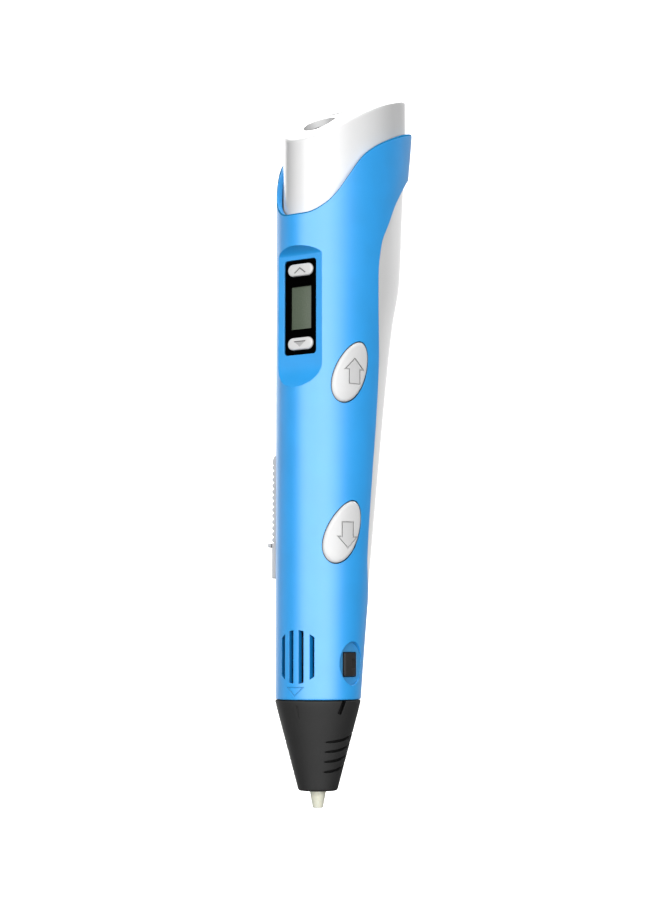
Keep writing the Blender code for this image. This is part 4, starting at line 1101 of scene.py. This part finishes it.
M = {
    "blue": blue_plastic(),
    # darker copies of the cover's blue, all painted shade: a dark line along the rim, the vent's slot walls, the
    # display pocket's floor and the latch scoop
    "blue_rim_shade": blue_plastic("cover_blue_rim_painted_shade", (0.015, 0.17, 0.38), 1.0),
    "blue_slot_shade": blue_plastic("cover_blue_slot_wall_painted_shade", (0.001, 0.22, 0.58)),
    "blue_pocket_shade": blue_plastic("cover_blue_pocket_painted_shade", (0.016, 0.325, 0.78)),
    "blue_scoop_shade": blue_plastic("cover_blue_scoop_painted_shade", (0.04, 0.27, 0.58)),
    # near-black copy of the nose's grey for its grip grooves: painted shade
    "nose_pit_shade": plastic("nose_groove_painted_shade", (9, 9, 9), 0.7, 0.3, 5200.0, 0.0001, 0.0, 0.06, 0.1, ior=1.3, gap_shade_level=0.1),
    "plain_white": plastic("moulded_white", (214, 214, 214), 0.25, 0.04, 5000.0, 0.0002, 0.0, 0.012, 0.04, ior=1.5),
    # the cap's white takes painted shade on walls turned from the viewer, a painted pale rim and painted top light on
    # upward faces
    "white": plastic("casing_white_gloss", (221, 221, 221), 0.13, 0.02, 5000.0, 0.0002, 0.0, 0.012, 0.04, ior=1.52,
                     painted_glow=0.2, turn_shade=0.78, top=0.3),
    # the rear casing's white takes a painted pale rim where it turns from the viewer
    "rear_white": plastic("rear_white_satin", (206, 206, 206), 0.2, 0.03, 6000.0, 0.0002, 0.0, 0.012, 0.05, ior=1.52,
                          painted_glow=0.35),
    "key": plastic("key_white", (209, 209, 209), 0.2, 0.03, 6000.0, 0.0002, 0.0, 0.012, 0.05),
    "mark": plastic("printed_grey", (128, 128, 128), 0.4, 0.05, 6000.0, 0.00005, 0.0, 0.03, 0.05),
    # greyer copy of the cap's white for the port walls: painted shade
    "port_wall_painted_shade": plastic("port_wall_painted_shade", (186, 186, 186), 0.35, 0.05, 6000.0, 0.0001, 0.0, 0.02, 0.05, gap_shade_level=0.5),
    "faint": plastic("printed_pale_grey", (172, 172, 172), 0.4, 0.05, 6000.0, 0.00005, 0.0, 0.03, 0.05),
    "arrow_fill": plastic("key_arrow_fill", (198, 198, 198), 0.3, 0.05, 6000.0, 0.00005, 0.0, 0.02, 0.05, gap_shade_level=1),
    # darker grey for the arrow's outline groove: painted shade
    "arrow_line_shade": plastic("key_arrow_line_painted_shade", (176, 176, 176), 0.4, 0.05, 6000.0, 0.00005, 0.0, 0.03, 0.05, gap_shade_level=1),
    "nose": plastic("nose_matte_grey", (38, 38, 38), 0.6, 0.35, 5200.0, 0.00025, 0.0, 0.06, 0.1, ior=1.42, gap_shade_level=0.05),
    "black": plastic("trim_black", (1, 1, 1), 0.22, 0.02, 5000.0, 0.00012, 0.0, 0.05, 0.04, ior=1.08),
    "latch": plastic("latch_black", (40, 38, 37), 0.5, 0.25, 5200.0, 0.00015, 0.0, 0.06, 0.08),
    "black_part": plastic("moulded_black", (26, 26, 27), 0.42, 0.2, 5200.0, 0.0001, 0.0, 0.08, 0.1),
    "grey": plastic("slider_grey", (188, 189, 191), 0.38, 0.12, 6000.0, 0.00015, 0.0, 0.03, 0.08, gap_shade_level=0.6),
    "nylon": plastic("inner_nylon", (214, 210, 196), 0.46, 0.16, 4000.0, 0.00015, 0.0, 0.04, 0.1),
    "ptfe": plastic("guide_tube_white", (234, 234, 230), 0.3, 0.06, 3000.0, 0.0001, 0.0, 0.02, 0.08),
    "steel": metal("steel_turned", (176, 177, 180), 0.3),
    "brass": metal("brass_turned", (206, 168, 92), 0.28),
    "board": board_material(),
    "screen": screen_material(),
    "ceramic": ceramic_material(),
    "red": wire_material("wire_red", (178, 26, 24)),
    "wire_black": wire_material("wire_black", (28, 28, 29)),
    "wire_white": wire_material("wire_white", (222, 222, 218)),
}

PIECES = (
    (front, "casing", "cover_blue", "blue", ("front_shell",)),
    (rear, "casing", "casing_white", "rear_white", ("rear_shell",)),
    (cap, "casing", "casing_white", "white", ("top_cap",)),
    (nose, "nose", "nose_dark", "nose", ("nose_cone",)),
    (latch, "nose_latch", "trim_black", "latch", ("nose_release_latch",)),
    (nozzle, "casing", "ceramic", "ceramic", ("ceramic_nozzle",)),
    (bezel, "casing", "trim_black", "black", ("display_bezel",)),
    (lcd, "casing", "screen", "screen", ("lcd_module",)),
    (temp_up, "temp_up_key", "casing_white", "key", ("temp_up_button",)),
    (temp_down, "temp_down_key", "casing_white", "key", ("temp_down_button",)),
    (feed, "feed_key", "casing_white", "key", ("feed_button",)),
    (retract, "retract_key", "casing_white", "key", ("retract_button",)),
    (track, "casing", "slider_grey", "grey", ("speed_track",)),
    (knob, "slider", "slider_grey", "grey", ("speed_slider",)),
    (jack, "casing", "nose_dark", "grey", ("power_jack",)),
    (bush, "casing", "inner_frame", "nylon", ("filament_inlet_bush",)),
)
for obj, body, slot, mat, nodes in PIECES:
    obj.data.materials.clear()
    obj.data.materials.append(M[mat])
    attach(obj, body)
    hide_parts(*nodes)

for obj, z in ((temp_up, TEMP_UP_Z), (temp_down, TEMP_DOWN_Z)):  # the printed arrowheads
    obj.data.materials.append(M["mark"])
    obj.data.materials.append(M["faint"])
    for face in obj.data.polygons:
        at = face.center / MM
        if -8.26 < at.y < -8.1 and face.normal.y < -0.9 and abs(at.x) < 2 and abs(at.z - z) < 1.1:
            face.material_index = 1 if at.y > -8.2 else 2

SLOT_MATERIAL = {"cover_blue": "blue", "casing_white": "plain_white", "nose_dark": "nose", "trim_black": "black_part",
                 "slider_grey": "grey", "ceramic": "ceramic", "steel": "steel", "brass": "brass",
                 "inner_frame": "nylon", "guide_tube": "ptfe", "circuit_board": "board", "screen": "screen",
                 "wire_red": "red", "wire_black": "wire_black", "wire_white": "wire_white"}
for part in frame["record"]["subparts"]:
    node = frame["nodes"][part["node"]]
    if node.hide_render:
        continue
    for s in node.material_slots:
        s.material = M[SLOT_MATERIAL[part["material_slot"]]]


def colour_arrow(obj, w0, z0, up):
    """The engraved arrow is a little greyer than the key, and its outline groove darker still, as painted shade."""
    obj.data.materials.append(M["arrow_fill"])
    obj.data.materials.append(M["arrow_line_shade"])
    shape = key_arrow(w0, z0, up)
    outer, inner = inset(shape, -0.02), inset(shape, ARROW_LINE + 0.02)
    for face in obj.data.polygons:
        at = face.center / MM
        depth = at.x * KEY_N[0] + at.y * KEY_N[1]
        w = at.x * KEY_W[0] + at.y * KEY_W[1]
        if inside(outer, w, at.z) and depth > 8.5:
            face.material_index = 1 if inside(inner, w, at.z) else 2


def cover_shade_zone(at, normal):
    """Which painted shade of the cover's colour a face takes: 0 is the plain one, 1 a dark line along the rim, 2 the
    vent's slot walls, 3 the display pocket's floor, 4 the latch scoop.
    """
    if at.z > 140 and at.z > smooth(RIM, at.y) - 0.4:
        return 1
    if abs(at.x - VENT_X) < VENT_SIDE + 0.1 and abs(at.z - VENT_Z) < VENT_R + 0.1 and at.y < -7 and normal.y > -0.6:
        return 2
    if 102 < at.z < 140 and abs(at.x) < 8.6 and normal.y < -0.3:
        half, back = smooth(COVER_HALF, at.z), smooth(COVER_BACK, at.z)
        outer = (back - FRONT) / 2 - (back + FRONT) / 2 * math.sqrt(1 - (at.x / half) ** 2)
        if at.y > outer + 0.04:
            return 3
    f, e = at.x * LATCH_F[0] + at.y * LATCH_F[1], at.x * LATCH_E[0] + at.y * LATCH_E[1]
    out = normal.x * LATCH_E[0] + normal.y * LATCH_E[1]
    if math.hypot((f - LATCH_F0) / SCOOP_WIDE, (at.z - 35.3) / SCOOP_R) < 1.03 and out > 0.3 and e < SCOOP_FLOOR + 0.04:
        return 4
    return 0


# darker copies of the blue, painted shade, for the zones below
for name in ("blue_rim_shade", "blue_slot_shade", "blue_pocket_shade", "blue_scoop_shade"):
    front.data.materials.append(M[name])
for face in front.data.polygons:
    face.material_index = cover_shade_zone(face.center / MM, face.normal)

# faces sunk into the grip grooves take the near-black copy: painted shade
nose.data.materials.append(M["nose_pit_shade"])
for face in nose.data.polygons:
    at = face.center / MM
    sunk = nose_radius(at.z) - math.hypot(at.x, at.y)
    if 0.14 < sunk < 1.3 and 6.5 < at.z < NOSE_TOP - 0.02 and abs(at.x) > 3:
        face.material_index = 1

# the walls of both ports take a greyer copy of the white: painted shade
cap.data.materials.append(M["port_wall_painted_shade"])
for face in cap.data.polygons:
    at = face.center / MM
    if math.hypot(at.x, at.y - PORT_Y) < PORT_R + 0.02 or math.hypot(at.x, at.y - INLET_Y) < INLET_R + 0.02:
        face.material_index = 1

colour_arrow(feed, FEED_W, FEED_Z, False)
colour_arrow(retract, RETRACT_W, RETRACT_Z, True)


# ============================================================ studio
VIEW_AZ, DIST, EYE_Z, SHIFT_R, PITCH = math.radians(33.42), 467.5, 40.6, 2.98, math.radians(5.836)
FLOOR_Z = -45.0


def studio():
    # floor that rises into a soft backdrop
    rows = []
    for k in range(3):
        rows.append((-1.6 + 1.6 * k, FLOOR_Z * MM))
    for k in range(1, 13):
        t = math.pi / 2 * k / 12
        rows.append((1.6 + 0.8 * math.sin(t), FLOOR_Z * MM + 0.8 * (1 - math.cos(t))))
    rows.append((2.4, 4.0))
    bm = bmesh.new()
    turn = Matrix.Rotation(VIEW_AZ, 4, "Z")
    lines = [[bm.verts.new(turn @ Vector((x, y, z))) for x in (-4.0, 0.0, 4.0)] for y, z in rows]
    for a, b in zip(lines, lines[1:]):
        for i in range(2):
            bm.faces.new((a[i], a[i + 1], b[i + 1], b[i]))
    mesh = bpy.data.meshes.new("studio_floor")
    bm.to_mesh(mesh)
    bm.free()
    mesh.shade_smooth()
    floor = bpy.data.objects.new("studio_floor", mesh)
    bpy.context.scene.collection.objects.link(floor)
    k = Nodes("floor_pale")
    k.link(k.ramp(k.noise(3.0, 3.0), ((0.3, (0.55, 0.55, 0.55, 1)), (0.7, (0.57, 0.57, 0.57, 1)))),
           k.shader.inputs["Base Color"])
    k.set(Roughness=0.9, Emission_Color=(1, 1, 1, 1), Emission_Strength=0.8)
    # the floor shows to the camera and lets the studio light through from below
    path, clear, blend = k.add("ShaderNodeLightPath"), k.add("ShaderNodeBsdfTransparent"), k.add("ShaderNodeMixShader")
    above = k.math("SUBTRACT", 1.0, k.add("ShaderNodeNewGeometry").outputs["Backfacing"])
    k.link(k.math("MULTIPLY", path.outputs["Is Camera Ray"], above), blend.inputs["Fac"])
    k.link(clear.outputs["BSDF"], blend.inputs[1])
    k.link(k.shader.outputs["BSDF"], blend.inputs[2])
    k.link(blend.outputs["Shader"], k.tree.nodes["Material Output"].inputs["Surface"])
    mesh.materials.append(k.mat)

    world = bpy.data.worlds.new("studio")
    bpy.context.scene.world = world
    world.use_nodes = True
    tree = world.node_tree
    tree.nodes.clear()

    def add(kind, operation=None, value=None):
        node = tree.nodes.new(kind)
        if operation:
            node.operation = operation
        if value is not None:
            node.inputs[1].default_value = value
        return node

    def band(source, stops, to_unit):
        """A brightness that depends on one number, by straight lines between stops."""
        node = add("ShaderNodeValToRGB")
        while len(node.color_ramp.elements) < len(stops):
            node.color_ramp.elements.new(0.5)
        for element, (at, v) in zip(node.color_ramp.elements, stops):
            element.position, element.color = to_unit(at), (v / ENV_TOP,) * 3 + (1,)
        tree.links.new(source, node.inputs["Fac"])
        return node.outputs["Color"]

    place, turned_to, sep = add("ShaderNodeTexCoord"), add("ShaderNodeVectorRotate"), add("ShaderNodeSeparateXYZ")
    turned_to.rotation_type = "Z_AXIS"
    turned_to.inputs["Angle"].default_value = -VIEW_AZ
    tree.links.new(place.outputs["Generated"], turned_to.inputs["Vector"])
    tree.links.new(turned_to.outputs["Vector"], sep.inputs["Vector"])
    # azimuth of the direction, 0 towards the camera and growing to its right
    flip, angle, unit = add("ShaderNodeMath", "MULTIPLY", -1.0), add("ShaderNodeMath", "ARCTAN2"), add(
        "ShaderNodeMapRange")
    tree.links.new(sep.outputs["Y"], flip.inputs[0])
    tree.links.new(sep.outputs["X"], angle.inputs[0])
    tree.links.new(flip.outputs["Value"], angle.inputs[1])
    unit.inputs["From Min"].default_value, unit.inputs["From Max"].default_value = -math.pi, math.pi
    tree.links.new(angle.outputs["Value"], unit.inputs["Value"])
    around = band(unit.outputs["Result"], ENVIRONMENT, lambda deg: (deg + 180) / 360)
    high = add("ShaderNodeMapRange")
    high.inputs["From Min"].default_value = -1.0
    tree.links.new(sep.outputs["Z"], high.inputs["Value"])

    def of_height(deg):
        return (math.sin(math.radians(deg)) + 1) / 2
    walls = band(high.outputs["Result"], [(deg, v * ENV_TOP) for deg, v in WALLS], of_height)
    extra = band(high.outputs["Result"], CEILING, of_height)
    product, total = add("ShaderNodeVectorMath", "MULTIPLY"), add("ShaderNodeVectorMath", "ADD")
    behind = band(unit.outputs["Result"], BACK_AROUND, lambda deg: (deg + 180) / 360)
    behind_high = band(high.outputs["Result"], [(deg, v * ENV_TOP) for deg, v in BACK_HEIGHT], of_height)
    back, both = add("ShaderNodeVectorMath", "MULTIPLY"), add("ShaderNodeVectorMath", "ADD")
    tree.links.new(behind, back.inputs[0])
    tree.links.new(behind_high, back.inputs[1])
    tree.links.new(back.outputs["Vector"], both.inputs[0])
    tree.links.new(extra, both.inputs[1])
    tree.links.new(around, product.inputs[0])
    tree.links.new(walls, product.inputs[1])
    tree.links.new(product.outputs["Vector"], total.inputs[0])
    tree.links.new(both.outputs["Vector"], total.inputs[1])
    lit, plain, eye_ray, mix, out = (add("ShaderNodeBackground"), add("ShaderNodeBackground"),
                                     add("ShaderNodeLightPath"), add("ShaderNodeMixShader"),
                                     add("ShaderNodeOutputWorld"))
    lit.inputs["Strength"].default_value = ENV_TOP
    plain.inputs["Color"].default_value = (1, 1, 1, 1)
    tree.links.new(total.outputs["Vector"], lit.inputs["Color"])
    tree.links.new(eye_ray.outputs["Is Camera Ray"], mix.inputs["Fac"])
    tree.links.new(lit.outputs["Background"], mix.inputs[1])
    tree.links.new(plain.outputs["Background"], mix.inputs[2])
    tree.links.new(mix.outputs["Shader"], out.inputs["Surface"])


# brightness of the studio round the pen: degrees from the camera, to its right
ENV_TOP = 8.0
ENVIRONMENT = ((-180, 1.7), (-160, 2.3), (-142, 1.6), (-130, 0.35), (-115, 0.64), (-100, 0.42), (-85, 0.06),
               (-70, 0.06), (-55, 0.65), (-40, 3.1), (-25, 3.3), (-10, 3.1), (5, 3.45), (20, 3.9), (35, 3.1),
               (50, 1.86), (60, 0.35), (70, 0.05), (122, 0.05), (134, 0.5), (150, 0.35), (166, 0.7), (180, 1.7))
# how much of it shows at each height above the horizon, and the glow overhead
WALLS = ((-90, 0.02), (-24, 0.02), (-14, 1.0), (25, 1.0), (36, 0.02), (90, 0.02))
CEILING = ((-90, 0.03), (69, 0.03), (74, 5.0), (90, 5.0))
# a raised light behind the pen
BACK_AROUND = ((-180, 8.0), (-170, 7.0), (-155, 0.02), (118, 0.02), (136, 8.0), (180, 8.0))
BACK_HEIGHT = ((-90, 0.0), (28, 0.0), (36, 1.0), (62, 1.0), (68, 0.0), (90, 0.0))
studio()

camera = bpy.data.cameras.new("photo_view")
camera.lens, camera.sensor_width = 74.99, 36.0
camera.clip_start, camera.clip_end = 0.01, 20.0
eye = bpy.data.objects.new("photo_view", camera)
bpy.context.scene.collection.objects.link(eye)
right = Vector((math.cos(VIEW_AZ), math.sin(VIEW_AZ), 0))
ahead = Vector((-math.sin(VIEW_AZ) * math.cos(PITCH), math.cos(VIEW_AZ) * math.cos(PITCH), math.sin(PITCH)))
upward = right.cross(ahead)
spot = Vector((DIST * math.sin(VIEW_AZ), -DIST * math.cos(VIEW_AZ), EYE_Z)) + right * SHIFT_R
eye.matrix_world = axes(right, upward, -ahead, spot * MM)
bpy.context.scene.camera = eye
bpy.context.scene.view_settings.view_transform = "Standard"
bpy.context.scene.cycles.use_denoising = True
